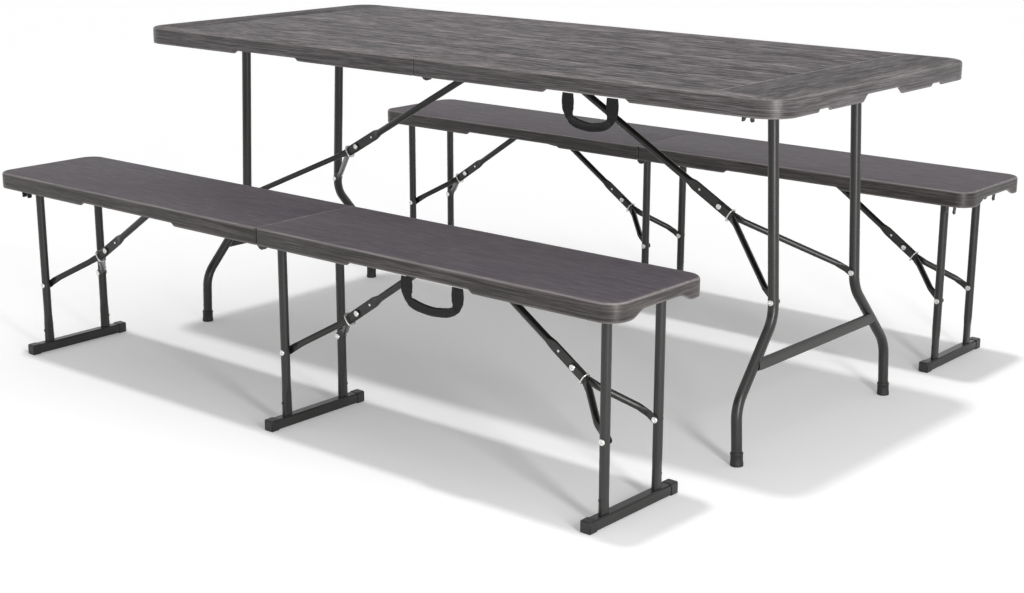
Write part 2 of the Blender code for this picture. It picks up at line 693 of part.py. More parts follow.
def outer_rivet_head(one, side):
    """The head of the leg rivet on the outer side of a leg."""
    face = side * (one["leg_y"] + one["leg_radius"])
    return rod("rivet_head", (0, face - side * RIVET_HEAD_THICKNESS, -one["rivet_distance"]),
               (0, face + side * RIVET_HEAD_THICKNESS, -one["rivet_distance"]), RIVET_HEAD_RADIUS, SMALL_SIDES)


def table_legs(one, item):
    """Two bent tubes on a pivot tube, with a crossbar, in the plane of the leaning legs."""
    lean, radius = one["lean"], one["leg_radius"]
    leg_end = one["pivot_z"] / math.cos(lean) - CAP_BASE
    high = (one["pivot_z"] - TABLE_BEND_HIGH) / math.cos(lean)
    low = (one["pivot_z"] - TABLE_BEND_LOW) / math.cos(lean)
    leg_y, foot_y = one["leg_y"], item["foot_y"]
    pieces = [pivot_tube(item)]
    for side in (-1, 1):
        corners = [(0, side * leg_y, TABLE_LEG_TOP), (0, side * leg_y, -high), (0, side * foot_y, -low),
                   (0, side * foot_y, -leg_end)]
        pieces.append(tube("leg", rounded(corners, BEND_RADIUS, BEND_STEPS), radius, TUBE_SIDES))
        pieces.append(outer_rivet_head(one, side))
    bar = (one["pivot_z"] - TABLE_CROSSBAR_Z) / math.cos(lean)
    bar_y = leg_y + (foot_y - leg_y) * (bar - high) / (low - high)
    stations = [((-CROSSBAR_OUTSET, side * bar_y, -bar), CROSSBAR_HALF_HEIGHT, CROSSBAR_HALF_THICKNESS, 3)
                for side in (-1, 1)]
    pieces.append(sweep("crossbar", stations, (1, 0, 0), 12))
    legs = combine(pieces[0], pieces[1:])
    legs.data.transform(Matrix.Rotation(lean, 4, "Y"))
    return legs, leg_end


def bench_legs(one, item):
    """Two straight tubes on a pivot tube, their pressed ends in a foot bar with end caps."""
    radius = one["leg_radius"]
    floor = -one["pivot_z"]
    bar_top = floor + FOOT_BAR_HEIGHT
    bar_half = item["width"] / 2 - FOOT_BAR_INSET
    pieces = [pivot_tube(item)]
    for side in (-1, 1):
        y = side * one["leg_y"]
        stations = [((0, y, BENCH_LEG_TOP), radius, radius, 2), ((0, y, bar_top + 0.060), radius, radius, 2),
                    ((0, y, bar_top + 0.034), radius * 1.15, radius * 0.70, 3),
                    ((0, y, bar_top - 4 * MM), radius * 1.20, radius * 0.66, 4)]
        pieces.append(sweep("leg", stations, (1, 0, 0), BENCH_TUBE_SIDES))
        pieces.append(outer_rivet_head(one, side))
        cap = sorted((side * bar_half, side * (bar_half - FOOT_BAR_CAP)))
        pieces.append(box("bar_cap", (-FOOT_BAR_WIDTH / 2, cap[0], floor),
                          (FOOT_BAR_WIDTH / 2, cap[1], bar_top)))
    inset = bar_half - FOOT_BAR_CAP / 2
    thin = FOOT_BAR_CAP_WALL
    pieces.append(box("foot_bar", (thin - FOOT_BAR_WIDTH / 2, -inset, floor + thin),
                      (FOOT_BAR_WIDTH / 2 - thin, inset, bar_top - thin)))
    return combine(pieces[0], pieces[1:])


def foot_caps(one, item, names, holder, leg_end):
    """Rubber caps on the table's leg ends, flat on the ground."""
    lean = one["lean"]
    foot = Vector((-math.sin(lean), 0, -math.cos(lean)))
    for side, name in zip((-1, 1), names):
        y = Vector((0, side * item["foot_y"], 0))
        end = foot * leg_end + y
        top = end - foot * (CAP_HEIGHT - CAP_BASE)
        cap = rod("cap", top, end + foot * 0.02, CAP_RADIUS, HOLE_SIDES)
        socket = bore("socket", top - foot * 0.01, end + foot * GAP, one["leg_radius"])
        ground = box("ground", (end.x - 0.06, y.y - 0.05, -one["pivot_z"] - 0.05),
                     (end.x + 0.06, y.y + 0.05, -one["pivot_z"]))
        place(combine(cap, [socket, ground], "DIFFERENCE"), name, holder, RUBBER)


def leg_set(item, one, half):
    """A folding leg set with its brace and locking ring, each on the empty of its own joint."""
    turn = 0.0 if one["inward"] > 0 else math.pi
    joints = linkage(one)
    label = item["name"] + "_{}_" + one["name"]
    eye = Vector((joints["eye"].x, 0, joints["eye"].y))
    joint = Vector((joints["joint"].x, 0, joints["joint"].y))
    leg_point = (one["pivot_x"], 0, one["pivot_z"])
    brace_point = (one["pivot_x"] + one["inward"] * one["reach"], 0, one["brace_z"])
    pivot = (new_empty(label.format("leg_pivot"), half, leg_point, turn), Vector((0, 0, 0)))
    brace = (new_empty(label.format("brace_pivot"), half, brace_point, turn), eye)
    middle = (new_empty(label.format("brace_joint"), brace, joint), joint)
    if item["name"] == "table":
        legs, leg_end = table_legs(one, item)
        ends = ("front", "back") if turn == 0.0 else ("back", "front")
        foot_caps(one, item, ["table_foot_cap_{}_{}".format(one["name"], end) for end in ends], pivot, leg_end)
    else:
        legs = bench_legs(one, item)
    place(legs, label.format("legs"), pivot, STEEL)
    place(brace_upper(one, joints), label.format("brace_upper"), brace, STEEL)
    place(brace_fork(one, joints), label.format("brace_fork"), middle, STEEL)
    place(lock_ring(one, joints), label.format("lock_ring"), brace, ZINC)


def clips(item, holder, direction):
    """Two n-shaped clips that snap over the other half's pivot tube when the halves close."""
    other = [one for one in item["sets"] if one["half"] != direction and one["name"] != "middle"][0]
    x = -other["pivot_x"]
    roof = item["height"] - item["panel"] - GAP
    low = 2 * item["seam"] - other["pivot_z"] - CLIP_REACH
    inner = PIVOT_TUBE_RADIUS + CLIP_PLAY
    outer = inner + CLIP_WALL
    for side, end in ((-1, "front"), (1, "back")):
        near, far = side * item["clip_y"] - CLIP_WIDTH / 2, side * item["clip_y"] + CLIP_WIDTH / 2
        body = box("clip", (x - outer, near, roof - CLIP_BASE), (x + outer, far, roof))
        prongs = [box("prong", (x + min(one, other_face), near, low), (x + max(one, other_face), far, roof - MM))
                  for one, other_face in ((-outer, -inner), (inner, outer))]
        place(combine(body, prongs), "{}_clip_{}".format(item["name"], end), holder, CLIP_PLASTIC)


def carry_handle(item, holder):
    """A webbing loop with a padded grip, hung from the cut-out of the front skirt."""
    thin, wide = STRAP_THICKNESS / 2, STRAP_WIDTH / 2
    rise = SKIRT_NOTCH_RISE - GAP - thin
    hang = new_empty(item["name"] + "_handle_hang", holder,
                     (0, SKIRT_WALL / 2 - item["width"] / 2, item["height"] - item["skirt"] + rise))
    left, right, drop = item["handle_left"], item["handle_right"], item["handle_drop"]
    strap = (wide, thin, 6)
    neck = (wide * 0.55, thin * 1.7, 3)
    grip = (GRIP_RADIUS, GRIP_RADIUS, 2.4)
    side = [(0.0, thin * math.sin(angle), (wide, thin * math.cos(angle), 6)) for angle in STRAP_END_ANGLES]
    side += [(0.0, 0.0, strap), (0.0, -drop * STRAP_SHARE, strap), (NECK_INSET, -drop * NECK_SHARE, neck),
             (GRIP_INSET, -drop * GRIP_SHARE, grip), (SHOULDER_INSET, -drop * SHOULDER_SHARE, grip)]
    path = [((left + inset, 0, z), *section) for inset, z, section in side]
    path.append((((left + right) / 2, 0, -drop), *grip))
    path += [((right - inset, 0, z), *section) for inset, z, section in reversed(side)]
    hang = (hang, Vector((0, 0, 0)))
    place(sweep("handle", path, (0, 1, 0)), item["name"] + "_carry_handle", hang, WEBBING)


def leg_spec(name, half, pivot_x, inward, item, rod_x=None):
    """The sizes of one leg set and its brace, whose rod is at rod_x or next to the folded foot."""
    bottom = item["height"] - item["skirt"]
    one = {"name": name, "half": half, "pivot_x": pivot_x, "inward": inward,
           "pivot_z": bottom + item["pivot_rise"], "brace_z": bottom + item["brace_rise"],
           "joint_rise": item["joint_rise"] - item["pivot_rise"]}
    one["reach"] = one["pivot_z"] - BENCH_ROD_INSET if rod_x is None else abs(pivot_x - rod_x)
    one.update(item["leg"])
    one["rivet_distance"] = (one["pivot_z"] - item["rivet_z"]) / math.cos(one["lean"])
    return one


def table_item():
    """The sizes of the table."""
    edge = TABLE_WIDTH / 2
    small_y = edge - SMALL_NOTCH_INSET
    item = {"name": "table", "length": TABLE_LENGTH, "width": TABLE_WIDTH, "height": TABLE_HEIGHT,
            "skirt": TABLE_SKIRT, "panel": TABLE_PANEL, "corner": TABLE_CORNER,
            "notch_start": TABLE_NOTCH_START, "notch_end": TABLE_NOTCH_END,
            "end_notches": [(0.0, END_NOTCH_HALF, END_NOTCH_SLOPE, END_NOTCH_RISE),
                            (small_y, SMALL_NOTCH_HALF, SMALL_NOTCH_SLOPE, SMALL_NOTCH_RISE),
                            (-small_y, SMALL_NOTCH_HALF, SMALL_NOTCH_SLOPE, SMALL_NOTCH_RISE)],
            "pocket": TABLE_POCKET_DEPTH, "groove": 0.0, "pivot_rise": TABLE_PIVOT_RISE,
            "brace_rise": TABLE_BRACE_RISE, "joint_rise": TABLE_JOINT_RISE, "rivet_z": TABLE_RIVET_Z,
            "strip_y": edge - TABLE_STRIP_INSET, "hinge_radius": TABLE_HINGE_RADIUS,
            "clip_y": edge - TABLE_CLIP_INSET, "foot_y": edge - TABLE_FOOT_INSET,
            "clip_half": 1, "handle_left": TABLE_HANDLE_LEFT, "handle_right": TABLE_HANDLE_RIGHT,
            "handle_drop": TABLE_HANDLE_DROP, "loose_pins": True, "full_rods": True,
            "leg": {"lean": TABLE_LEAN, "leg_radius": TABLE_LEG_RADIUS, "leg_y": edge - TABLE_LEG_INSET,
                    "brace_radius": TABLE_BRACE_RADIUS,
                    "fork_radius": TABLE_FORK_RADIUS, "flat_half_height": TABLE_FLAT_HALF_HEIGHT,
                    "flat_length": TABLE_FLAT_LENGTH, "tab_half_height": TABLE_TAB_HALF_HEIGHT}}
    item["seam"] = item["height"] - item["skirt"] - GAP / 2
    left, right = TABLE_PIVOT_INSET_LEFT - TABLE_LENGTH / 2, TABLE_LENGTH / 2 - TABLE_PIVOT_INSET_RIGHT
    item["sets"] = [leg_spec("left", -1, left, 1, item, -TABLE_ROD_LEFT),
                    leg_spec("right", 1, right, -1, item, TABLE_ROD_RIGHT)]
    return item


def bench_item(name):
    """The sizes of one bench."""
    edge = BENCH_WIDTH / 2
    item = {"name": name, "length": BENCH_LENGTH, "width": BENCH_WIDTH, "height": BENCH_HEIGHT,
            "skirt": BENCH_SKIRT, "panel": BENCH_PANEL, "corner": BENCH_CORNER,
            "notch_start": BENCH_NOTCH_START, "notch_end": BENCH_NOTCH_END,
            "end_notches": [(0.0, BENCH_END_NOTCH_HALF, BENCH_END_NOTCH_SLOPE, END_NOTCH_RISE)],
            "pocket": BENCH_POCKET_DEPTH, "groove": BENCH_GROOVE_DEPTH, "pivot_rise": BENCH_PIVOT_RISE,
            "brace_rise": BENCH_BRACE_RISE, "joint_rise": BENCH_JOINT_RISE, "rivet_z": BENCH_RIVET_Z,
            "strip_y": edge - BENCH_STRIP_INSET, "hinge_radius": BENCH_HINGE_RADIUS,
            "clip_y": edge - BENCH_CLIP_INSET,
            "clip_half": -1, "handle_left": BENCH_HANDLE_LEFT, "handle_right": BENCH_HANDLE_RIGHT,
            "handle_drop": BENCH_HANDLE_DROP, "loose_pins": False, "full_rods": False,
            "leg": {"lean": 0.0, "leg_radius": BENCH_LEG_RADIUS, "leg_y": edge - BENCH_LEG_INSET,
                    "brace_radius": BENCH_BRACE_RADIUS,
                    "fork_radius": BENCH_FORK_RADIUS, "flat_half_height": BENCH_FLAT_HALF_HEIGHT,
                    "flat_length": BENCH_FLAT_LENGTH, "tab_half_height": BENCH_TAB_HALF_HEIGHT}}
    item["seam"] = item["height"] - item["skirt"] - GAP / 2
    left, right = BENCH_PIVOT_INSET_LEFT - BENCH_LENGTH / 2, BENCH_LENGTH / 2 - BENCH_PIVOT_INSET_RIGHT
    item["sets"] = [leg_spec("left", -1, left, 1, item),
                    leg_spec("middle", 1, BENCH_PIVOT_MIDDLE, 1, item),
                    leg_spec("right", 1, right, -1, item)]
    return item


def folding_item(item, location, turn=0.0):
    """Build a table or bench whose halves fold about the hinge at the foot of the seam."""
    base = (new_empty(item["name"], None, location, turn), Vector((0, 0, 0)))
    seam = Vector((0, 0, item["seam"]))
    halves = {-1: base, 1: (new_empty(item["name"] + "_seam_hinge", base, seam), seam)}
    for direction, half in ((-1, "left"), (1, "right")):
        top_half("{}_top_{}".format(item["name"], half), item, halves[direction], MOULDED_TOP, direction)
        frame_half("{}_frame_{}".format(item["name"], half), item, halves[direction], STEEL, direction)
    if item["loose_pins"]:
        for side, end in ((-1, "front"), (1, "back")):
            place(hinge_pin("pin", side, item), "{}_hinge_pin_{}".format(item["name"], end), base, ZINC)
    for one in item["sets"]:
        leg_set(item, one, halves[one["half"]])
    clips(item, halves[item["clip_half"]], item["clip_half"])
    carry_handle(item, halves[1])


clear_scene()
PARTS = new_collection("garden_table_with_benches")
MOULDED_TOP = new_material("moulded polyethylene", (0.125, 0.105, 0.108), 0.55, 0.0)
STEEL = new_material("powder-coated steel", (0.045, 0.043, 0.041), 0.38, 0.0)
ZINC = new_material("zinc-plated steel", (0.72, 0.72, 0.70), 0.3, 1.0)
RUBBER = new_material("black rubber", (0.012, 0.012, 0.012), 0.7, 0.0)
CLIP_PLASTIC = new_material("black nylon", (0.015, 0.015, 0.015), 0.45, 0.0)
WEBBING = new_material("black webbing", (0.010, 0.010, 0.011), 0.85, 0.0)

folding_item(table_item(), (TABLE_X, TABLE_Y, 0.0))
folding_item(bench_item("bench_front"), (BENCH_FRONT_X, -BENCH_Y, 0.0))
folding_item(bench_item("bench_back"), (BENCH_BACK_X, BENCH_Y, 0.0), math.pi)
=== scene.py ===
"""Looks of a folding garden table with its two folding benches, laid out as a Blender add-on.

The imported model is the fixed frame. Each operator builds one group of like pieces in the frame's
metres, gives them their finish and lets them ride on the frame's bodies. The table and each bench are
modelled in their own frame, with the seam at x = 0 and +x towards the half called right.
"""
import json
import math
import random

import bmesh
import bpy
from bpy.props import FloatProperty, FloatVectorProperty, IntProperty, PointerProperty
from mathutils import Matrix, Vector


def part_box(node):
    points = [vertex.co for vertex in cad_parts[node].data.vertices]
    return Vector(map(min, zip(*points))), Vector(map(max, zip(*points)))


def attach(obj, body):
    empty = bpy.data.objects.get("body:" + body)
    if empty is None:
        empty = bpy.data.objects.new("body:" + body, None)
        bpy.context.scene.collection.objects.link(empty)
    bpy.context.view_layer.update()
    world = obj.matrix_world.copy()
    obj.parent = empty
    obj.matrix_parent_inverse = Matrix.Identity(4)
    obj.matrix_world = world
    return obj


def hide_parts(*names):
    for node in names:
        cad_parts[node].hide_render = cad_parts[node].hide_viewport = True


bl_info = {
    "name": "Garden table with benches",
    "version": (1, 0, 0),
    "blender": (4, 5, 0),
    "location": "3D View > Sidebar > Garden set",
    "description": "Builds the visible pieces and finishes of a folding garden table and its benches",
    "category": "Object",
}

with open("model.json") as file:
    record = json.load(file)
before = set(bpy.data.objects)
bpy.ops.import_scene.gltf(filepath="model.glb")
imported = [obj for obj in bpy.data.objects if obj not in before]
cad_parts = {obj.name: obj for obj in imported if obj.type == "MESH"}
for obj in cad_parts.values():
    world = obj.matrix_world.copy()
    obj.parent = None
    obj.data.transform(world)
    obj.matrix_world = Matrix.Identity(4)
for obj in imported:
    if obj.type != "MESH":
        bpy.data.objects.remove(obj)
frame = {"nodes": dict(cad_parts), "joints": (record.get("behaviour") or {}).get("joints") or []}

MM = 0.001
GAP = 0.3 * MM
SMOOTH_ANGLE = math.radians(38)
IMAGE_WIDTH = 1024
STEEL = "powder-coated steel tube"
ZINC = "zinc-plated steel"
NYLON = "moulded nylon clip"

# What the two kinds of item have, in metres. Lengths and heights come from the frame's own boxes.
TABLE = {
    "panel": 0.0125, "corner": 0.062, "notch": (0.365, 0.555), "pocket": 0.0078, "strip_inset": 0.049,
    "end_cuts": ((0.0, 0.058, 0.022, 0.014), (0.222, 0.015, 0.008, 0.0055), (-0.222, 0.015, 0.008, 0.0055)),
    "lean": math.radians(2.7), "leg_radius": 0.011, "leg_y": 0.160, "brace_radius": 0.008,
    "fork_radius": 0.0066, "flat_half": 0.012, "flat_length": 0.072, "tab_half": 0.009,
    "handle": (0.4165, 0.526), "drop": 0.062, "leg_sides": ("left", "right"), "clip_half": "right",
    # The rim and the crown are painted paler: partly wear, partly a painted highlight.
    "crown": 0.028, "crown_drop": 0.0022, "rim_wear": 0.42,
    "crown_wear": 0.26,
}
BENCH = {
    "panel": 0.012, "corner": 0.038, "notch": (0.270, 0.570), "pocket": 0.0068, "strip_inset": 0.022,
    "end_cuts": ((0.0, 0.050, 0.044, 0.014),),
    "lean": 0.0, "leg_radius": 0.0095, "leg_y": 0.081, "brace_radius": 0.0075,
    "fork_radius": 0.0070, "flat_half": 0.0108, "flat_length": 0.055, "tab_half": 0.008,
    "handle": (0.417, 0.5455), "drop": 0.056, "leg_sides": ("left", "middle", "right"), "clip_half": "left",
    # The rim and the crown are painted paler: partly wear, partly a painted highlight.
    "crown": 0.014, "crown_drop": 0.0010, "rim_wear": 0.55,
    "crown_wear": 0.05,
}

# Moulded tops
SKIRT_WALL = 0.004
SKIRT_CUT_RISE = 0.0066
SKIRT_CUT_SLOPE = 0.014
SEAM_CORNER = 0.005
SEAM_BAND = 0.0015
SEAM_OPENING = 0.015
POCKET_START = 0.009
POCKET_HALF = 0.020
POCKET_MARGIN = 0.045
CORNER_STEPS = 14
CUT_STEPS = 8
EDGE_STEPS = 7
CROWN_STEPS = 6
# How pale each step of the rounded edge is painted: partly wear, partly a painted highlight.
EDGE_WEAR_AND_HIGHLIGHT = (0.0, 0.1, 0.35, 0.8, 1.0, 0.7, 0.35, 0.15)
MERGE = 0.01 * MM

# Frame screws, with their profile as (distance down, radius)
SCREWS_PER_STRIP = 4
SCREW_START = 0.055
SCREW_MARGIN = 0.095
STRIP_THICK = 0.002
FRAME_SCREW = ((0.0, 0.0042), (0.9 * MM, 0.0040), (1.5 * MM, 0.0028), (1.5 * MM, 0.0014), (0.7 * MM, 0.0010))

# Table legs, from the pivot down
LEG_TOP = 0.007
FOOT_Y = 0.294
BEND_HIGH = 0.270
BEND_LOW = 0.120
BEND_RADIUS = 0.075
CROSSBAR_Z = 0.190
CROSSBAR_HALF = (0.0125, 0.0055)
CROSSBAR_OUTSET = 0.0074
CAP_BASE = 0.005
CAP_PROFILE = ((-0.0020, 0.0122), (-0.0002, 0.0132), (0.0075, 0.0132), (0.0085, 0.0126), (0.0225, 0.0125),
               (0.0235, 0.0131), (0.0262, 0.0131), (0.0275, 0.0124), (0.0275, 0.0112))

# Bench legs
FOOT_BAR = 0.024
FOOT_BAR_CAP = 0.023
FOOT_BAR_HALF = 0.1355
FOOT_SCREW_RISE = 0.026
FOOT_SCREW = ((0.0, 0.0042), (1.6 * MM, 0.0041), (2.4 * MM, 0.0026), (2.4 * MM, 0.0016), (1.6 * MM, 0.0010))

# Braces
PIVOT_TUBE = 0.008
PIVOT_BORE = 0.0066
PIVOT_MARGIN = 0.0055
EYE_RADIUS = 0.0062
EYE_HALF = 0.007
FLAT_HALF_THICK = 0.003
FLAT_TIP = 0.036
TAB_THICK = 0.0025
TAB_LENGTH = 0.034
RIVET_HEAD = 0.0064
RIVET_RISE = 0.0018
RING_SEAT = 0.031
RING_WIRE = 0.0015
RING_HALF = 0.009
RING_SLACK = 0.0043

# Grip of a handle, as (share of its length, share of the drop, share of its radius)
GRIP_INSET = 0.004
GRIP_HALF = ((0.0, 0.76, 0.50), (0.03, 0.80, 0.74), (0.08, 0.855, 0.94), (0.18, 0.925, 1.0),
             (0.32, 0.972, 0.985))
GRIP_MIDDLE = (0.5, 1.0, 0.97)

# Rivet head above its lower edge, as (share of its rise, share of its radius)
RIVET_PROFILE = ((0.35, 1.0), (0.85, 0.9), (1.0, 0.72), (1.0, 0.36), (0.3, 0.28))

# Studio
KEY_ANGLE = math.radians(4.5)
KEY_PLACE = (-0.75, 0.1, 7.0)
FRONT_SIZE = (0.45, 2.2)
FRONT_PLACE = (3.4, -1.85, 1.15)
FRONT_TARGET = (0.9, -0.35, 0.6)
FLOOR_SIZE = 40.0
FLOOR_CELLS = 8
SENSOR_WIDTH = 36.0
FAR_CLIP = 200.0


def linear(code):
    """An sRGB hex colour as linear red, green, blue and alpha."""
    values = [int(code[start:start + 2], 16) / 255 for start in (1, 3, 5)]
    return tuple(v / 12.92 if v <= 0.04045 else ((v + 0.055) / 1.055) ** 2.4 for v in values) + (1.0,)


class Item:
    """The table or one bench: where it stands and the sizes that its pieces share."""

    def __init__(self, name, sizes, turned):
        low, high = (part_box(name + "_top_" + side) for side in ("left", "right"))
        if turned:
            low, high = high, low
        self.name = name
        self.turned = turned
        self.seam_x = (low[1].x + high[0].x) / 2
        self.length = (high[1].x - low[0].x) / 2
        self.width = (high[1].y - high[0].y) / 2
        self.height = high[1].z
        self.bottom = high[0].z
        stand = Matrix.Translation((self.seam_x, (high[0].y + high[1].y) / 2, 0.0))
        self.matrix = stand @ Matrix.Rotation(math.pi if turned else 0.0, 4, "Z")
        for key, value in sizes.items():
            setattr(self, key, value)
        self.floor = self.height - self.panel
        self.strip_y = self.width - self.strip_inset
        self.sets = {side: LegSet(self, side) for side in self.leg_sides}

    def body(self, half):
        """The frame's body of one half."""
        return "{}_{}_half".format(self.name, half)

    def local(self, point):
        """A point of the frame in this item's own frame."""
        return self.matrix.inverted() @ Vector(point)

    def local_box(self, node):
        """The lowest and highest corner of a node in this item's own frame."""
        one, other = (self.local(corner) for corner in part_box(node))
        return Vector(map(min, one, other)), Vector(map(max, one, other))


class LegSet:
    """A folding leg set: its pivot, and its brace's joints with x pointing inward from the pivot."""

    def __init__(self, item, side):
        self.name = item.name + "_" + side
        places = {joint["name"]: joint.get("pos_m") for joint in frame["joints"]}
        self.pivot = item.local(places[self.name + "_legs_fold"])
        eye = item.local(places[self.name + "_upper_turn"])
        self.inward = 1 if eye.x > self.pivot.x else -1
        turn = Matrix.Rotation(0.0 if self.inward > 0 else math.pi, 4, "Z")
        self.matrix = item.matrix @ Matrix.Translation(self.pivot) @ turn
        back = self.matrix.inverted()
        eye, joint = (back @ Vector(places[self.name + end]) for end in ("_upper_turn", "_fork_turn"))
        self.eye, self.joint = eye.xz, joint.xz
        leg = Vector((-math.sin(item.lean), -math.cos(item.lean)))
        along = self.joint - self.eye
        self.rivet_distance = cross(self.eye, along) / cross(leg, along)
        self.rivet = leg * self.rivet_distance
        self.upper = along.length
        self.fork = (self.rivet - self.joint).length


def cross(one, other):
    """The cross product of two flat vectors."""
    return one.x * other.y - one.y * other.x


def ease(share):
    """A share from 0 to 1 with a soft start and end."""
    share = min(max(share, 0.0), 1.0)
    return share * share * (3 - 2 * share)


def items():
    """The table and both benches, read from the frame."""
    return [Item("table", TABLE, False), Item("bench_front", BENCH, False), Item("bench_back", BENCH, True)]


# Shapes

def loft(shape, rings, finish=0, wrap=False, caps=True):
    """Skin rows of points into faces, as a closed loop or with closed ends."""
    rows = [[shape.verts.new(point) for point in ring] for ring in rings]
    pairs = list(zip(rows, rows[1:]))
    if wrap:
        pairs.append((rows[-1], rows[0]))
    faces = []
    for first, second in pairs:
        for index, vert in enumerate(first):
            after = (index + 1) % len(first)
            faces.append(shape.faces.new((vert, first[after], second[after], second[index])))
    if caps and not wrap:
        faces += [shape.faces.new(rows[0]), shape.faces.new(rows[-1])]
    for face in faces:
        face.material_index = finish
    return rows


def section(centre, side, rise, half_side, half_rise, power, count):
    """Points round a section that is an ellipse at power 2 and close to a rectangle at a high one."""
    points = []
    for step in range(count):
        angle = math.tau * (step + 0.5) / count
        reach = math.copysign(abs(math.cos(angle)) ** (2 / power), math.cos(angle))
        lift = math.copysign(abs(math.sin(angle)) ** (2 / power), math.sin(angle))
        points.append(centre + side * half_side * reach + rise * half_rise * lift)
    return points


def filled(stations, steps, curved=False):
    """Stations with eased ones in between. Each is (centre, half side, half rise, power)."""
    made = []
    for index, (first, second) in enumerate(zip(stations, stations[1:])):
        start, end = Vector(first[0]), Vector(second[0])
        pull = Vector(stations[max(index - 1, 0)][0])
        push = Vector(stations[min(index + 2, len(stations) - 1)][0])
        for step in range(steps):
            share = step / steps
            centre = start.lerp(end, share)
            if curved:
                early, late = (end - pull) / 2, (push - start) / 2
                square, cube = share ** 2, share ** 3
                centre = (start * (2 * cube - 3 * square + 1) + early * (cube - 2 * square + share)
                          + end * (3 * square - 2 * cube) + late * (cube - square))
            sizes = [one + (other - one) * ease(share) for one, other in zip(first[1:], second[1:])]
            made.append((centre, *sizes))
    made.append((Vector(stations[-1][0]), *stations[-1][1:]))
    return made


def sweep(shape, stations, normal, count=20, finish=0, wrap=False):
    """A bar through stations whose section changes, along a path that lies square to the normal."""
    normal = Vector(normal).normalized()
    centres = [Vector(station[0]) for station in stations]
    rings = []
    for index, (_, half_side, half_rise, power) in enumerate(stations):
        before = centres[index - 1] if wrap or index else centres[0]
        after = centres[(index + 1) % len(centres)] if wrap or index + 1 < len(centres) else centres[-1]
        side = (after - before).normalized().cross(normal)
        rings.append(section(centres[index], side, normal, half_side, half_rise, power, count))
    loft(shape, rings, finish, wrap)


def rounded(corners, radius, steps):
    """The path through corners, with an arc in place of each inner corner."""
    corners = [Vector(corner) for corner in corners]
    path = [corners[0]]
    for before, corner, after in zip(corners, corners[1:], corners[2:]):
        back, on = (before - corner).normalized(), (after - corner).normalized()
        half = back.angle(on) / 2
        centre = corner + (back + on).normalized() * radius / math.sin(half)
        first = corner + back * radius / math.tan(half) - centre
        last = corner + on * radius / math.tan(half) - centre
        axis, angle = first.cross(last), first.angle(last)
        path += [centre + Matrix.Rotation(angle * step / steps, 3, axis) @ first for step in range(steps + 1)]
    return path + [corners[-1]]


def turned_part(shape, start, axis, profile, count=20, finish=0):
    """A turned shape: (distance along the axis, radius) points spun round it, with closed ends."""
    axis = Vector(axis).normalized()
    side = axis.orthogonal().normalized()
    rise = axis.cross(side)
    rings = [section(Vector(start) + axis * along, side, rise, radius, radius, 2, count)
             for along, radius in profile]
    loft(shape, rings, finish)


def rivet_head(shape, start, axis, finish=0, radius=RIVET_HEAD, rise=RIVET_RISE):
    """A domed rivet head with the shallow dent of its rolled end."""
    profile = [(-0.3 * MM, radius * 0.98)] + [(rise * up, radius * out) for up, out in RIVET_PROFILE]
    turned_part(shape, start, axis, profile, 18, finish)


def rounded_box(shape, low, high, radius, finish=0, steps=3):
    """A box between two corners with rounded edges."""
    box = bmesh.new()
    bmesh.ops.create_cube(box, size=1.0)
    bmesh.ops.scale(box, vec=Vector(high) - Vector(low), verts=box.verts)
    bmesh.ops.translate(box, vec=(Vector(low) + Vector(high)) / 2, verts=box.verts)
    bmesh.ops.bevel(box, geom=box.edges[:], offset=radius, segments=steps, affect="EDGES")
    join(shape, box, finish)


def join(shape, other, finish=0):
    """Copy another bmesh into a shape, which uses it up."""
    for face in other.faces:
        face.material_index = finish
    data = bpy.data.meshes.new("joined")
    other.to_mesh(data)
    other.free()
    shape.from_mesh(data)
    bpy.data.meshes.remove(data)


def weld_bead(shape, centre, side, rise, half_side, half_rise, radius, lumps):
    """The lumpy ring of a weld round an oval joint."""
    count = lumps * 4
    axis = side.cross(rise).normalized()
    rings = []
    for step in range(count):
        angle = math.tau * step / count
        out = side * math.cos(angle) * half_side + rise * math.sin(angle) * half_rise
        size = radius * (0.82 + 0.18 * math.cos(math.tau * lumps * step / count))
        rings.append(section(centre + out, out.normalized(), axis, size, size, 2, 8))
    loft(shape, rings, 0, wrap=True)


def make_piece(name, shape, matrix, finishes, body, slot, *nodes):
    """A finished object from a bmesh, riding on its body in place of the frame's nodes."""
    shape.transform(matrix)
    bmesh.ops.recalc_face_normals(shape, faces=shape.faces)
    data = bpy.data.meshes.new(name)
    shape.to_mesh(data)
    shape.free()
    for finish in finishes:
        data.materials.append(finish)
    data.shade_smooth()
    data.set_sharp_from_angle(angle=SMOOTH_ANGLE)
    piece = bpy.data.objects.new(name, data)
    bpy.context.scene.collection.objects.link(piece)
    if nodes:
        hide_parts(*nodes)
    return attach(piece, body)


# Finishes

def add_node(tree, kind, inputs, **settings):
    """Add a node with its settings, its input values and its links from other nodes' outputs."""
    made = tree.nodes.new(kind)
    for name, value in settings.items():
        setattr(made, name, value)
    for name, value in inputs.items():
        if isinstance(value, bpy.types.NodeSocket):
            tree.links.new(value, made.inputs[name])
        else:
            made.inputs[name].default_value = value
    return made


def maths(tree, operation, *values):
    """One sum on numbers or on other nodes' outputs."""
    return add_node(tree, "ShaderNodeMath", dict(enumerate(values)), operation=operation).outputs[0]


def mapped(tree, value, low=0.0, high=1.0, to_low=0.0, to_high=1.0, **settings):
    """A value moved from one range into another and held inside it."""
    inputs = {"Value": value, "From Min": low, "From Max": high, "To Min": to_low, "To Max": to_high}
    return add_node(tree, "ShaderNodeMapRange", inputs, **settings).outputs["Result"]


def mixed(tree, share, one, other):
    """A colour between two others."""
    return add_node(tree, "ShaderNodeMix", {0: share, 6: one, 7: other}, data_type="RGBA").outputs[2]


def noise(tree, place, scale, detail, **more):
    """Soft noise from 0 to 1, with its scale in lumps per metre."""
    inputs = {"Vector": place, "Scale": scale, "Detail": detail, **more}
    return add_node(tree, "ShaderNodeTexNoise", inputs).outputs["Fac"]


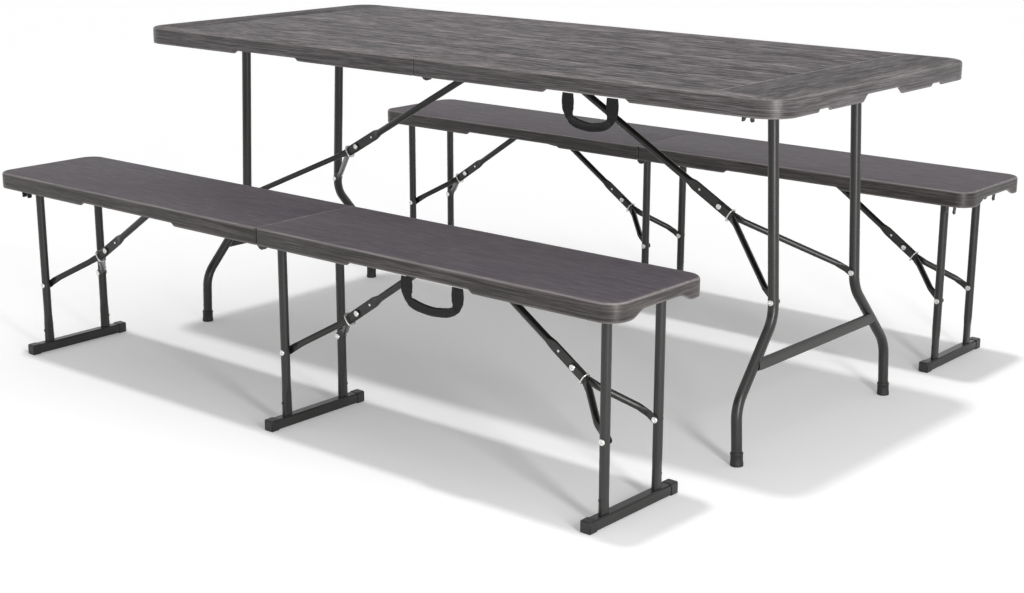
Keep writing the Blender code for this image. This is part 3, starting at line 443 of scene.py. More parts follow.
def bumped(tree, height, strength, distance):
    """The normal of a surface with this relief."""
    inputs = {"Height": height, "Strength": strength, "Distance": distance}
    return add_node(tree, "ShaderNodeBump", inputs).outputs["Normal"]


def new_finish(name, roughness, metallic=0.0, specular=None):
    """A material with its node tree, its shader and the coordinates of the frame."""
    made = bpy.data.materials.new(name)
    made.use_nodes = True
    tree = made.node_tree
    shader = tree.nodes["Principled BSDF"]
    shader.inputs["Roughness"].default_value = roughness
    shader.inputs["Metallic"].default_value = metallic
    if specular is not None:
        shader.inputs["Specular IOR Level"].default_value = specular
    return made, tree, shader, add_node(tree, "ShaderNodeTexCoord", {}).outputs["Object"]


def dress(made, tree, shader, **sockets):
    """Link outputs to the shader and return its material."""
    for name, socket in sockets.items():
        tree.links.new(socket, shader.inputs[name.replace("_", " ")])
    return made


def toned(colour, factor):
    """A colour made paler or darker."""
    return tuple(min(1.0, value * factor) for value in colour[:3]) + (1.0,)


def moulded_polyethylene(name, base, light, worn, coarse, fine, contrast, relief, roughness=0.6, shine=0.2,
                         boards=()):
    """Blow-moulded polyethylene with an embossed wood grain, stretched along one direction.

    Broken pale streaks on a dark taupe ground give the eye brushed boards. The raised edges and groove lips
    are painted paler and made a little glossier: partly wear, where the mould's texture is rubbed smooth,
    and partly a painted highlight.
    """
    made, tree, shader, place = new_finish(name, roughness, specular=shine)
    layers = []
    for scale, detail in ((coarse, 5.0), (fine, 3.0)):
        space = add_node(tree, "ShaderNodeMapping", {"Vector": place, "Scale": scale}).outputs["Vector"]
        layers.append(noise(tree, space, 1.0, detail, Roughness=0.7, Distortion=0.2))
    grain, thread = layers
    # The broad layer shows less than the fine one.
    streak = mapped(tree, grain, 0.42, 0.62, to_high=contrast * 0.45)
    speck = mapped(tree, thread, 0.46, 0.60, to_high=contrast)
    # Patches about 120 mm wide, where the grain fades out and comes back.
    swell = mapped(tree, noise(tree, place, 8.0, 2.0), 0.3, 0.7, 0.75, 1.15)
    amount = maths(tree, "MULTIPLY", maths(tree, "ADD", streak, speck), swell)
    if boards:
        pitch, first, worn_and_highlit_lip_width = boards
        across = add_node(tree, "ShaderNodeSeparateXYZ", {"Vector": place}).outputs["Y"]
        shifted = maths(tree, "SUBTRACT", across, first)
        gap = maths(tree, "PINGPONG", shifted, pitch)
        # A pale lip beside each groove: partly wear, partly a painted highlight.
        edge = mapped(tree, gap, 0.0, worn_and_highlit_lip_width, 0.55, 0.0, interpolation_type="SMOOTHSTEP")
        board = maths(tree, "FLOOR", maths(tree, "DIVIDE", shifted, pitch))
        tone = add_node(tree, "ShaderNodeTexWhiteNoise", {"W": board}, noise_dimensions="1D").outputs["Value"]
        amount = maths(tree, "ADD", amount, maths(tree, "MULTIPLY", edge, amount))
        amount = maths(tree, "ADD", amount, mapped(tree, tone, to_low=-0.06, to_high=0.08))
    # Rims and groove lines are painted paler and made glossier: partly wear, partly a painted highlight.
    rubbed_and_highlit = add_node(tree, "ShaderNodeAttribute", {}, attribute_name="worn").outputs["Fac"]
    wear_and_highlight_share = maths(tree, "MULTIPLY", rubbed_and_highlit, mapped(tree, grain, 0.3, 0.62, 0.4, 1.0))
    height = maths(tree, "MULTIPLY_ADD", thread, 0.3, grain)
    return dress(made, tree, shader, Base_Color=mixed(tree, wear_and_highlight_share, mixed(tree, amount, base, light), worn),
                 Roughness=mapped(tree, wear_and_highlight_share, to_low=roughness, to_high=roughness - 0.1),
                 Normal=bumped(tree, height, 1.0, relief))


def powder_coated_steel(name, colour):
    """Powder-coated mild steel tube, cured in an oven.

    A charcoal paint with the faint orange peel of cured powder, which breaks up long highlights.
    """
    made, tree, shader, place = new_finish(name, 0.32)
    # Orange peel is about 1 mm across. It is drawn at 2.5 mm so that it shows in the render.
    peel, dust = noise(tree, place, 400.0, 2.0), noise(tree, place, 22.0, 3.0)
    tone = mixed(tree, mapped(tree, dust, 0.35, 0.7), colour, toned(colour, 1.35))
    return dress(made, tree, shader, Base_Color=tone, Normal=bumped(tree, peel, 0.5, 0.15 * MM),
                 Roughness=mapped(tree, dust, to_low=0.27, to_high=0.38))


def zinc_plate(name, colour):
    """Bright zinc-plated steel: a pale metal whose plating clouds into patches a few mm wide."""
    made, tree, shader, place = new_finish(name, 0.3, 1.0)
    cloud = noise(tree, place, 260.0, 3.0)
    return dress(made, tree, shader, Base_Color=mixed(tree, cloud, toned(colour, 0.72), colour),
                 Roughness=mapped(tree, cloud, to_low=0.26, to_high=0.46))


def moulded_black(name, colour, roughness, grain_mm):
    """Black injection-moulded plastic or rubber with the fine spark grain of its mould."""
    made, tree, shader, place = new_finish(name, roughness)
    spark = noise(tree, place, 1.0 / (grain_mm * MM), 2.0)
    return dress(made, tree, shader, Base_Color=mixed(tree, spark, colour, toned(colour, 1.9)),
                 Roughness=mapped(tree, spark, to_low=roughness - 0.08, to_high=roughness + 0.1),
                 Normal=bumped(tree, spark, 0.4, 0.2 * MM))


def woven_polypropylene(name, colour, thread_mm):
    """Woven polypropylene webbing: ribs of crossing threads whose crests are painted paler, a painted
    highlight in short dashes.
    """
    made, tree, shader, place = new_finish(name, 0.72, specular=0.35)
    # The wave texture draws 20 bands per unit at scale 1.
    inputs = {"Vector": place, "Scale": 1.0 / (20 * thread_mm * MM), "Distortion": 0.4}
    ribs = [add_node(tree, "ShaderNodeTexWave", inputs, bands_direction=direction,
                     wave_type="BANDS").outputs["Fac"] for direction in ("X", "Z")]
    weave_and_crest_highlight = maths(tree, "MULTIPLY", *ribs)
    # The crests of the ribs are painted paler: a painted highlight. The same pattern also drives the real
    # relief.
    return dress(made, tree, shader, Base_Color=mixed(tree, weave_and_crest_highlight, colour, toned(colour, 2.6)),
                 Normal=bumped(tree, weave_and_crest_highlight, 0.9, 0.35 * MM))


# What makes each finish: its function, the colour settings that it takes and its other values. For the
# moulded tops these are the lumps per metre of the broad and the fine grain along x, y and z, the
# contrast, the relief, the roughness, the shine, and the boards' pitch, first groove and pale lip. The
# pale lip beside each groove is partly wear and partly a painted highlight.
FINISHES = {
    # Streaks about 17 mm wide and 200 mm long over threads 7 mm wide and 60 mm long.
    "moulded polyethylene, boards along": (
        moulded_polyethylene, ("board", "grain", "worn"),
        ((5.0, 60.0, 1.0), (16.0, 150.0, 1.0), 0.8, 1.0 * MM, 0.6, 0.2, (0.126, 0.0195, 0.022))),
    "moulded polyethylene, boards across": (
        moulded_polyethylene, ("board", "grain", "worn"),
        ((60.0, 5.0, 1.0), (170.0, 17.0, 1.0), 0.45, 1.0 * MM)),
    "moulded polyethylene, seat": (
        moulded_polyethylene, ("seat", "grain", "worn"),
        ((8.0, 80.0, 1.0), (26.0, 200.0, 1.0), 0.2, 0.8 * MM)),
    # Wavy bands 4 mm high that run round the skirt.
    "moulded polyethylene, skirt": (
        moulded_polyethylene, ("skirt", "grain", "worn"),
        ((4.0, 4.0, 260.0), (11.0, 11.0, 520.0), 0.5, 0.6 * MM, 0.34, 0.5)),
    # A darker copy of the skirt finish for the benches: the extra darkness is painted shade.
    "moulded polyethylene, bench skirt": (
        moulded_polyethylene, ("bench_skirt", "bench_grain", "worn"),
        ((4.0, 4.0, 260.0), (11.0, 11.0, 520.0), 0.5, 0.6 * MM, 0.36, 0.45)),
    "moulded polyethylene, underside": (
        moulded_polyethylene, ("skirt", "board", "worn"),
        ((30.0, 30.0, 30.0), (90.0, 90.0, 90.0), 0.5, 0.2 * MM)),
    STEEL: (powder_coated_steel, ("steel",), ()),
    ZINC: (zinc_plate, ("zinc",), ()),
    "moulded rubber cap": (moulded_black, ("rubber",), (0.62, 1.6)),
    NYLON: (moulded_black, ("rubber",), (0.42, 1.2)),
    "woven polypropylene strap": (woven_polypropylene, ("webbing",), (1.8,)),
    "woven polyester grip cover": (woven_polypropylene, ("grip",), (1.2,)),
}


def finish_of(kind):
    """The finish of one kind of surface, made the first time that it is asked for."""
    made = bpy.data.materials.get(kind)
    if made:
        return made
    maker, keys, values = FINISHES[kind]
    colours = bpy.context.scene.garden_finishes
    return maker(kind, *(tuple(getattr(colours, key)) for key in keys), *values)


# Moulded tops

def cut_stations(cuts):
    """Places along a side, with how far the skirt's lower edge is cut up at each."""
    marks = []
    for centre, half, slope, rise in cuts:
        for side in (-1, 1):
            for step in range(CUT_STEPS + 1):
                share = step / CUT_STEPS
                height = rise * (1 + math.cos(math.pi * share)) / 2
                marks.append((centre + side * (half + slope * share), height))
    return sorted(marks)


def rim_marks(item):
    """The stations round one half: which stretch of the rim, the place on it and the cut there."""
    start, end = item.notch
    along = cut_stations([((start + end) / 2, (end - start) / 2, SKIRT_CUT_SLOPE, SKIRT_CUT_RISE)])
    across = cut_stations(item.end_cuts)
    opening, up = item.strip_y + SEAM_OPENING, item.floor - SEAM_BAND - item.bottom
    seam = [(-opening - 0.2 * MM, 0.0), (-opening, up), (0.0, up), (opening, up), (opening + 0.2 * MM, 0.0)]
    corner = [step / CORNER_STEPS for step in range(CORNER_STEPS + 1)]
    marks = [("seam front", step / 4, 0.0) for step in range(5)]
    marks += [("front", x, rise) for x, rise in along]
    marks += [("end front", share, 0.0) for share in corner]
    marks += [("end", y, rise) for y, rise in across]
    marks += [("end back", share, 0.0) for share in corner]
    marks += [("back", x, rise) for x, rise in reversed(along)]
    marks += [("seam back", step / 4, 0.0) for step in range(5)]
    marks += [("seam", y, rise) for y, rise in reversed(seam)]
    return marks


def rim_point(item, mark, inset, seam_inset):
    """Where a station lies on the loop at these distances in from the rim and from the seam."""
    stretch, value, _ = mark
    side = item.width - inset
    if stretch in ("front", "back"):
        return value, side if stretch == "back" else -side
    if stretch == "end":
        return item.length - inset, value
    if stretch == "seam":
        reach = item.width - max(inset, SEAM_CORNER)
        return GAP + seam_inset, max(-reach, min(reach, value))
    sign = -1 if "front" in stretch else 1
    turn = value * math.pi / 2
    if stretch.startswith("end"):
        away = math.sin(turn) if sign < 0 else math.cos(turn)
        out = math.cos(turn) if sign < 0 else math.sin(turn)
        radius = item.corner - inset
        return item.length - item.corner + radius * away, sign * (item.width - item.corner + radius * out)
    away = math.cos(turn) if sign < 0 else math.sin(turn)
    out = math.sin(turn) if sign < 0 else math.cos(turn)
    x = GAP + SEAM_CORNER - max(SEAM_CORNER - seam_inset, 0.0) * away
    return x, sign * (item.width - max(inset, SEAM_CORNER) + max(SEAM_CORNER - inset, 0.0) * out)


def depth_in(item, x, y):
    """How far a point lies in from the rounded outer rim."""
    over_x, over_y = x - item.length + item.corner, abs(y) - item.width + item.corner
    if over_x > 0 and over_y > 0:
        return max(item.corner - math.hypot(over_x, over_y), 0.0)
    return max(min(item.length - x, item.width - abs(y)), 0.0)


def surface_z(item, sizes, x, y):
    """The height of the top's upper surface: flat, with a soft crown down to its rounded edge."""
    depth = depth_in(item, x, y)
    drop = item.crown_drop * (1 - ease((depth - sizes.edge_radius) / (item.crown - sizes.edge_radius)))
    if depth < sizes.edge_radius:
        drop += sizes.edge_radius - math.sqrt(sizes.edge_radius ** 2 - (sizes.edge_radius - depth) ** 2)
    seam = x - GAP
    if seam < sizes.seam_radius:
        short = sizes.seam_radius - max(seam, 0.0)
        drop += sizes.seam_radius - math.sqrt(sizes.seam_radius ** 2 - short ** 2)
    return item.height - drop


def cut_faces(shape, faces, place, normal):
    """Split faces along a plane and return all that are then there."""
    geometry = list(faces) + list({edge for face in faces for edge in face.edges})
    geometry += list({vert for face in faces for vert in face.verts})
    made = bmesh.ops.bisect_plane(shape, geom=geometry, plane_co=place, plane_no=normal, dist=1e-6)
    return [one for one in made["geom"] if isinstance(one, bmesh.types.BMFace)]


def top_half(item, half, sizes):
    """One moulded half: crowned top with its board grooves, skirt with its cut-outs, underside with a raised
    pocket.
    """
    shape = bmesh.new()
    worn = shape.verts.layers.float.new("worn")
    marks = rim_marks(item)
    rows = []

    def row(inset, seam_inset, height, wear_and_highlight_share=0.0):
        """Add one loop of points, its height given by a function of the station and its place."""
        loop = []
        for mark in marks:
            x, y = rim_point(item, mark, inset, seam_inset)
            vert = shape.verts.new((x, y, height(mark, x, y)))
            vert[worn] = wear_and_highlight_share
            loop.append(vert)
        rows.append(loop)

    low = item.bottom
    row(SKIRT_WALL, SKIRT_WALL, lambda mark, x, y: item.floor)
    row(SKIRT_WALL, SKIRT_WALL, lambda mark, x, y: min(low + mark[2] + 0.8 * MM, item.floor - 0.3 * MM))
    row(SKIRT_WALL - 0.8 * MM, SKIRT_WALL - 0.8 * MM, lambda mark, x, y: low + mark[2])
    row(1.1 * MM, 1.1 * MM, lambda mark, x, y: low + mark[2], 0.35)
    row(0.3 * MM, 0.3 * MM, lambda mark, x, y: low + mark[2] + 0.3 * MM, 0.5)
    row(0.0, 0.0, lambda mark, x, y: low + mark[2] + 1.1 * MM, 0.3)
    row(0.0, 0.0, lambda mark, x, y: min(low + mark[2] + 5 * MM, surface_z(item, sizes, x, y) - 1.5 * MM))
    edge, crown, seam = sizes.edge_radius, item.crown, sizes.seam_radius
    skirt_rows = len(rows)

    def on_surface(mark, x, y):
        """The height of the upper surface at a station."""
        return surface_z(item, sizes, x, y)

    # The rounded rim and the crown are painted paler: partly wear, partly a painted highlight.
    for step in range(EDGE_STEPS + 1):
        bend = 1 - math.cos(step / EDGE_STEPS * math.pi / 2)
        row(edge * bend, seam * bend, on_surface, item.rim_wear * EDGE_WEAR_AND_HIGHLIGHT[step])
    for step in range(1, CROWN_STEPS + 1):
        share = step / CROWN_STEPS
        row(edge + (crown - edge) * share, seam + 0.8 * MM * share, on_surface,
            item.crown_wear * (1 - share) ** 0.8)
    for index, (first, second) in enumerate(zip(rows, rows[1:])):
        for place, vert in enumerate(first):
            after = (place + 1) % len(first)
            face = shape.faces.new((vert, first[after], second[after], second[place]))
            face.material_index = 3 if index < 2 else 2 if index < skirt_rows + 3 else 0
    panel = [shape.faces.new(rows[0])]
    top = [shape.faces.new(rows[-1])]
    panel[0].material_index = 3
    outermost = max(abs(one.pivot.x) for one in item.sets.values())
    for place, normal in (((POCKET_START, 0, 0), (1, 0, 0)), ((outermost - POCKET_MARGIN, 0, 0), (1, 0, 0)),
                          ((0, -POCKET_HALF, 0), (0, 1, 0)), ((0, POCKET_HALF, 0), (0, 1, 0))):
        panel = cut_faces(shape, panel, place, normal)
    pocket = [face for face in panel if abs(face.calc_center_median().y) < POCKET_HALF
              and POCKET_START < face.calc_center_median().x < outermost - POCKET_MARGIN]
    raised = bmesh.ops.extrude_face_region(shape, geom=pocket)["geom"]
    bmesh.ops.translate(shape, vec=(0, 0, item.pocket),
                        verts=[one for one in raised if isinstance(one, bmesh.types.BMVert)])
    bmesh.ops.delete(shape, geom=[face for face in pocket if face.is_valid], context="FACES_ONLY")
    if item.name == "table":
        top = board_grooves(shape, top, item, half, sizes, worn)
    bmesh.ops.remove_doubles(shape, verts=shape.verts, dist=MERGE)
    side = Matrix.Scale(-1 if half == "left" else 1, 4, (1, 0, 0))
    # The benches' skirts take a darker copy of the skirt finish, which paints shade on them.
    kinds = ("seat", "seat", "bench skirt")
    if item.name == "table":
        kinds = ("boards along", "boards across", "skirt")
    tops = [finish_of("moulded polyethylene, " + kind) for kind in kinds]
    name = "{}_top_{}".format(item.name, half)
    make_piece(name + "_moulding", shape, item.matrix @ side,
               tops + [finish_of("moulded polyethylene, underside")],
               item.body(half), "top", name)


def board_grooves(shape, top, item, half, sizes, worn):
    """Press the grooves between the boards and beside the end board into the flat top."""
    border = item.length - (sizes.end_board_left if half == "left" else sizes.end_board_right)
    wide = sizes.groove_width / 2
    grooves = [sizes.first_groove - sizes.board_pitch * index for index in range(sizes.board_grooves)]
    for shift in (-wide, 0.0, wide):
        top = cut_faces(shape, top, (border + shift, 0, 0), (1, 0, 0))
    for y in grooves:
        for shift in (-wide, 0.0, wide):
            top = cut_faces(shape, top, (0, y + shift, 0), (0, 1, 0))
    # Each groove is pressed in and painted pale along its middle: partly wear, partly a painted highlight.
    for vert in {vert for face in top for vert in face.verts}:
        across = abs(vert.co.x - border) < MERGE
        along = any(abs(vert.co.y - y) < MERGE for y in grooves) and vert.co.x < border - wide / 2
        if across or along:
            vert.co.z -= sizes.groove_depth
            vert[worn] = 1.0
    for face in shape.faces:
        if face.material_index == 0 and face.calc_center_median().x > border:
            face.material_index = 1
    return top


class MouldedTopSizes(bpy.types.PropertyGroup):
    """Sizes of the moulded tops that a user may change."""

    edge_radius: FloatProperty(name="Edge radius", description="Rounding of the outer edge of a top",
                               default=0.0055, min=0.002, max=0.007, unit="LENGTH")
    seam_radius: FloatProperty(name="Seam radius", description="Rounding of the edges along the seam",
                               default=0.0022, min=0.001, max=0.004, unit="LENGTH")
    board_pitch: FloatProperty(name="Board pitch", description="Width of one embossed board of the table",
                               default=0.126, min=0.06, max=0.2, unit="LENGTH")
    first_groove: FloatProperty(name="First groove", default=0.275, unit="LENGTH",
                                description="Place of the rearmost groove from the middle")
    board_grooves: IntProperty(name="Grooves", description="Number of grooves along the table", default=5,
                               min=1, max=8)
    groove_width: FloatProperty(name="Groove width", description="Width of a groove between boards",
                                default=0.0050, min=0.002, max=0.01, unit="LENGTH")
    groove_depth: FloatProperty(name="Groove depth", description="Depth of a groove between boards",
                                default=0.0009, min=0.0002, max=0.003, unit="LENGTH")
    end_board_left: FloatProperty(name="Left end board", description="Width of the board across the left end",
                                  default=0.112, unit="LENGTH")
    end_board_right: FloatProperty(name="Right end board", default=0.148, unit="LENGTH",
                                   description="Width of the board across the right end")


class GARDEN_OT_moulded_tops(bpy.types.Operator):
    """Build the six moulded halves of the table top and the bench seats"""

    bl_idname = "garden_set.moulded_tops"
    bl_label = "Moulded tops"

    def execute(self, context):
        """Build both halves of every top."""
        for item in items():
            for half in ("left", "right"):
                top_half(item, half, context.scene.garden_tops)
        return {"FINISHED"}


# Frames under the tops

class GARDEN_OT_frames(bpy.types.Operator):
    """Finish the steel frames and hinge pins, and drive the screws that hold the frames"""

    bl_idname = "garden_set.frames"
    bl_label = "Frames and screws"

    def execute(self, context):
        """Give the frame's own steel its finish and add a row of screws along every side strip."""
        steel, zinc = finish_of(STEEL), finish_of(ZINC)
        for name, node in frame["nodes"].items():
            if "_frame_" in name or "_hinge_pin_" in name:
                node.data.materials.clear()
                node.data.materials.append(steel if "_frame_" in name else zinc)
        for item in items():
            for half in ("left", "right"):
                shape = bmesh.new()
                low, high = item.local_box("{}_frame_{}".format(item.name, half))
                reach = max(abs(low.x), abs(high.x)) - SCREW_MARGIN
                sign = 1 if half == "right" else -1
                # The screws leave the places free where a folded foot bar lies.
                for side in (-1, 1):
                    for index in range(SCREWS_PER_STRIP):
                        x = sign * (SCREW_START + reach * index / (SCREWS_PER_STRIP - 1))
                        start = (x, side * item.strip_y, high.z - STRIP_THICK + 0.2 * MM)
                        turned_part(shape, start, (0, 0, -1), FRAME_SCREW, 16)
                make_piece("{}_frame_screws_{}".format(item.name, half), shape, item.matrix, [zinc],
                           item.body(half), "zinc")
        return {"FINISHED"}


# Leg sets

def pivot_tube(shape, item):
    """The tube on which a leg set turns, open at its ends."""
    half = item.strip_y - PIVOT_MARGIN
    profile = [(0.0, PIVOT_BORE), (0.0, PIVOT_TUBE), (2 * half, PIVOT_TUBE), (2 * half, PIVOT_BORE)]
    turned_part(shape, (0, -half, 0), (0, 1, 0), profile, 24)


def leg_rivet(shape, item, one, side):
    """The outer head of the rivet that holds the brace to a leg."""
    face = side * (item.leg_y + item.leg_radius - 0.6 * MM)
    rivet_head(shape, (0, face, -one.rivet_distance), (0, side, 0), 1, rise=2.2 * MM)


def table_legs(item, one):
    """Two bent tubes with a welded oval crossbar, in the plane of the leaning legs."""
    shape = bmesh.new()
    slant = math.cos(item.lean)
    end = one.pivot.z / slant - CAP_BASE
    high = (one.pivot.z - BEND_HIGH) / slant
    low = (one.pivot.z - BEND_LOW) / slant
    pivot_tube(shape, item)
    for side in (-1, 1):
        corners = [(0, side * item.leg_y, LEG_TOP), (0, side * item.leg_y, -high), (0, side * FOOT_Y, -low),
                   (0, side * FOOT_Y, -end)]
        path = rounded(corners, BEND_RADIUS, 14)
        sweep(shape, [(point, item.leg_radius, item.leg_radius, 2) for point in path], (1, 0, 0), 28)
        weld_bead(shape, Vector((0, side * item.leg_y, -0.004)), Vector((1, 0, 0)), Vector((0, 1, 0)),
                  item.leg_radius + 0.3 * MM, item.leg_radius + 0.3 * MM, 1.3 * MM, 9)
        leg_rivet(shape, item, one, side)
    bar = (one.pivot.z - CROSSBAR_Z) / slant
    bar_y = item.leg_y + (FOOT_Y - item.leg_y) * (bar - high) / (low - high)
    tall, thick = CROSSBAR_HALF
    reach = bar_y - 0.002
    stations = [((-CROSSBAR_OUTSET + 0.001, -reach, -bar), tall * 0.92, thick * 1.2, 2.4),
                ((-CROSSBAR_OUTSET, -reach + 0.014, -bar), tall, thick, 2.8),
                ((-CROSSBAR_OUTSET, reach - 0.014, -bar), tall, thick, 2.8),
                ((-CROSSBAR_OUTSET + 0.001, reach, -bar), tall * 0.92, thick * 1.2, 2.4)]
    sweep(shape, filled(stations, 5), (1, 0, 0), 28)
    lean_in = (FOOT_Y - item.leg_y) / (low - high)
    for side in (-1, 1):
        along = Vector((0, -side * lean_in, 1)).normalized()
        seat = Vector((-0.004, side * (bar_y - item.leg_radius * 1.15), -bar))
        weld_bead(shape, seat, along, Vector((1, 0, 0)), tall + 0.2 * MM, thick + 1.2 * MM, 1.4 * MM, 8)
    return shape, Matrix.Rotation(item.lean, 4, "Y")


def bench_legs(item, one):
    """Two straight tubes, pressed oval at the foot, in a square foot bar with end caps."""
    shape = bmesh.new()
    radius, floor = item.leg_radius, -one.pivot.z
    bar_top = floor + FOOT_BAR
    pivot_tube(shape, item)
    for side in (-1, 1):
        y = side * item.leg_y
        stations = [((0, y, 0.0075), radius, radius, 2), ((0, y, bar_top + 0.066), radius, radius, 2),
                    ((0, y, bar_top + 0.036), radius * 1.17, radius * 0.68, 2.8),
                    ((0, y, bar_top + 0.002), radius * 1.22, radius * 0.62, 3.4),
                    ((0, y, bar_top - 0.003), radius * 1.22, radius * 0.62, 3.4)]
        sweep(shape, filled(stations, 6), (1, 0, 0), 24)
        leg_rivet(shape, item, one, side)
        outer = side * (item.leg_y + radius * 1.2)
        turned_part(shape, (0, outer - side * 1.2 * MM, bar_top + FOOT_SCREW_RISE), (0, side, 0), FOOT_SCREW,
                    16, 2)
        cap = sorted((side * FOOT_BAR_HALF, side * (FOOT_BAR_HALF - FOOT_BAR_CAP)))
        rounded_box(shape, (-FOOT_BAR / 2, cap[0], floor), (FOOT_BAR / 2, cap[1], bar_top), 1.8 * MM, 2)
        weld_bead(shape, Vector((0, y, bar_top + 0.2 * MM)), Vector((1, 0, 0)), Vector((0, 1, 0)),
                  radius * 0.66, radius * 1.26, 1.2 * MM, 8)
    inner = FOOT_BAR_HALF - 0.004
    thin = 1.0 * MM
    bar_half = FOOT_BAR / 2 - thin
    rounded_box(shape, (-bar_half, -inner, floor + thin), (bar_half, inner, bar_top - thin), 2.4 * MM)
    return shape, Matrix.Identity(4)


class GARDEN_OT_leg_sets(bpy.types.Operator):
    """Build the eight leg sets with their pivot tubes, crossbars and foot bars"""

    bl_idname = "garden_set.leg_sets"
    bl_label = "Leg sets"

    def execute(self, context):
        """Build every leg set on its own pivot."""
        finishes = [finish_of(kind) for kind in (STEEL, ZINC, NYLON)]
        for item in items():
            for side, one in item.sets.items():
                shape, lean = table_legs(item, one) if item.name == "table" else bench_legs(item, one)
                make_piece("{}_legs_{}_tubes".format(item.name, side), shape, one.matrix @ lean, finishes,
                           one.name + "_legs", "steel", "{}_legs_{}".format(item.name, side))
        return {"FINISHED"}


class GARDEN_OT_foot_caps(bpy.types.Operator):
    """Build the four ribbed caps on the table's feet"""

    bl_idname = "garden_set.foot_caps"
    bl_label = "Foot caps"

    def execute(self, context):
        """Turn each cap on its leg's slant and cut it flat on the ground."""
        item = items()[0]
        foot = Vector((-math.sin(item.lean), 0.0, -math.cos(item.lean)))
        for side, one in item.sets.items():
            for sign in (-1, 1):
                shape = bmesh.new()
                end = foot * (one.pivot.z / math.cos(item.lean)) + Vector((0, sign * FOOT_Y, 0))
                turned_part(shape, end, -foot, CAP_PROFILE, 28)
                for vert in shape.verts:
                    vert.co.z = max(vert.co.z, -one.pivot.z)
                local_y = sign * one.inward
                name = "table_foot_cap_{}_{}".format(side, "front" if local_y < 0 else "back")
                make_piece(name + "_ribbed", shape, one.matrix, [finish_of("moulded rubber cap")],
                           one.name + "_legs", "cap", name)
        return {"FINISHED"}


# Braces

def laid_on(start, toward):
    """The matrix that lays a piece modelled along +x onto a line in the plane of its leg set."""
    along = toward - start
    return Matrix.Translation((start.x, 0, start.y)) @ Matrix.Rotation(-math.atan2(along.y, along.x), 4, "Y")


def upper_link(item, one):
    """A tube from its eye, pressed flat towards the mid rivet, with a punched mark and a square tip."""
    shape = bmesh.new()
    radius, tall, length = item.brace_radius, item.flat_half, one.upper
    flat, tip = length - item.flat_length, length + FLAT_TIP
    stations = [((0.003, 0, 0), EYE_HALF * 0.7, EYE_RADIUS * 0.85, 3), ((0.028, 0, 0), radius, radius, 2),
                ((flat - 0.022, 0, 0), radius, radius, 2), ((flat, 0, 0), FLAT_HALF_THICK, tall, 4.5),
                ((tip - 0.004, 0, 0), FLAT_HALF_THICK, tall, 6),
                ((tip - 0.001, 0, 0), FLAT_HALF_THICK * 0.9, tall * 0.95, 6),
                ((tip, 0, 0), FLAT_HALF_THICK * 0.7, tall * 0.86, 5)]
    sweep(shape, filled(stations, 7), (0, 0, 1), 28)
    turned_part(shape, (0, -EYE_HALF, 0), (0, 1, 0), [(0.0, EYE_RADIUS * 0.9), (0.5 * MM, EYE_RADIUS),
                                                      (2 * EYE_HALF - 0.5 * MM, EYE_RADIUS),
                                                      (2 * EYE_HALF, EYE_RADIUS * 0.9)], 24)
    for side in (-1, 1):
        mark = (flat + 0.012, side * (FLAT_HALF_THICK - 0.2 * MM), 0)
        turned_part(shape, mark, (0, side, 0), [(0.0, 0.0030), (0.6 * MM, 0.0022), (0.6 * MM, 0.0012),
                                                (0.2 * MM, 0.0008)], 14, 1)
        # The wall is pressed together into a shallow channel along the middle of the flat.
        ridge = side * (FLAT_HALF_THICK - 0.1 * MM)
        for edge in (-1, 1):
            rib = [((flat + 0.002, ridge, edge * tall * 0.78), 0.4 * MM, 0.4 * MM, 2),
                   ((flat + 0.010, ridge, edge * tall * 0.80), 1.1 * MM, 0.5 * MM, 2),
                   ((tip - 0.006, ridge, edge * tall * 0.80), 1.1 * MM, 0.5 * MM, 2)]
            sweep(shape, filled(rib, 3), (0, side, 0), 8)
    return shape


def brace_fork(item, one):
    """Two arms that clasp the upper link at the mid rivet and spread to the inner side of each leg."""
    shape = bmesh.new()
    length, radius, tall = one.fork, item.fork_radius, item.tab_half
    tab = TAB_THICK / 2
    tab_y = FLAT_HALF_THICK + GAP + tab
    head = tab_y + tab
    end_y = item.leg_y - item.leg_radius - GAP - tab
    end_half = radius * 1.15
    slope = (end_y - tab_y) / (length - TAB_LENGTH - 0.016)
    for side in (-1, 1):
        stations = [((-0.95 * tall, side * tab_y, 0), tab, tall * 0.35, 4),
                    ((-0.62 * tall, side * tab_y, 0), tab, tall * 0.80, 4),
                    ((0, side * tab_y, 0), tab, tall, 5), ((TAB_LENGTH, side * tab_y, 0), tab, tall, 5),
                    ((TAB_LENGTH + 0.024, side * (tab_y + slope * 0.018), 0), radius, radius, 2.1),
                    ((length - 0.038, side * (end_y - slope * 0.0132), 0), radius, radius, 2),
                    ((length - 0.016, side * end_y, 0), tab, end_half, 3.5),
                    ((length, side * end_y, 0), tab, end_half, 3.5),
                    ((length + end_half * 0.7, side * end_y, 0), tab, end_half * 0.72, 3),
                    ((length + end_half * 0.95, side * end_y, 0), tab * 0.8, end_half * 0.3, 2.5)]
        sweep(shape, filled(stations, 6), (0, 0, 1), 24)
        rivet_head(shape, (0, side * head, 0), (0, side, 0), 1)
        inner = side * (end_y - tab)
        rivet_head(shape, (length, inner, 0), (0, -side, 0), 1)
    turned_part(shape, (0, -head, 0), (0, 1, 0), [(0.0, 0.0028), (2 * head, 0.0028)], 14, 1)
    return shape


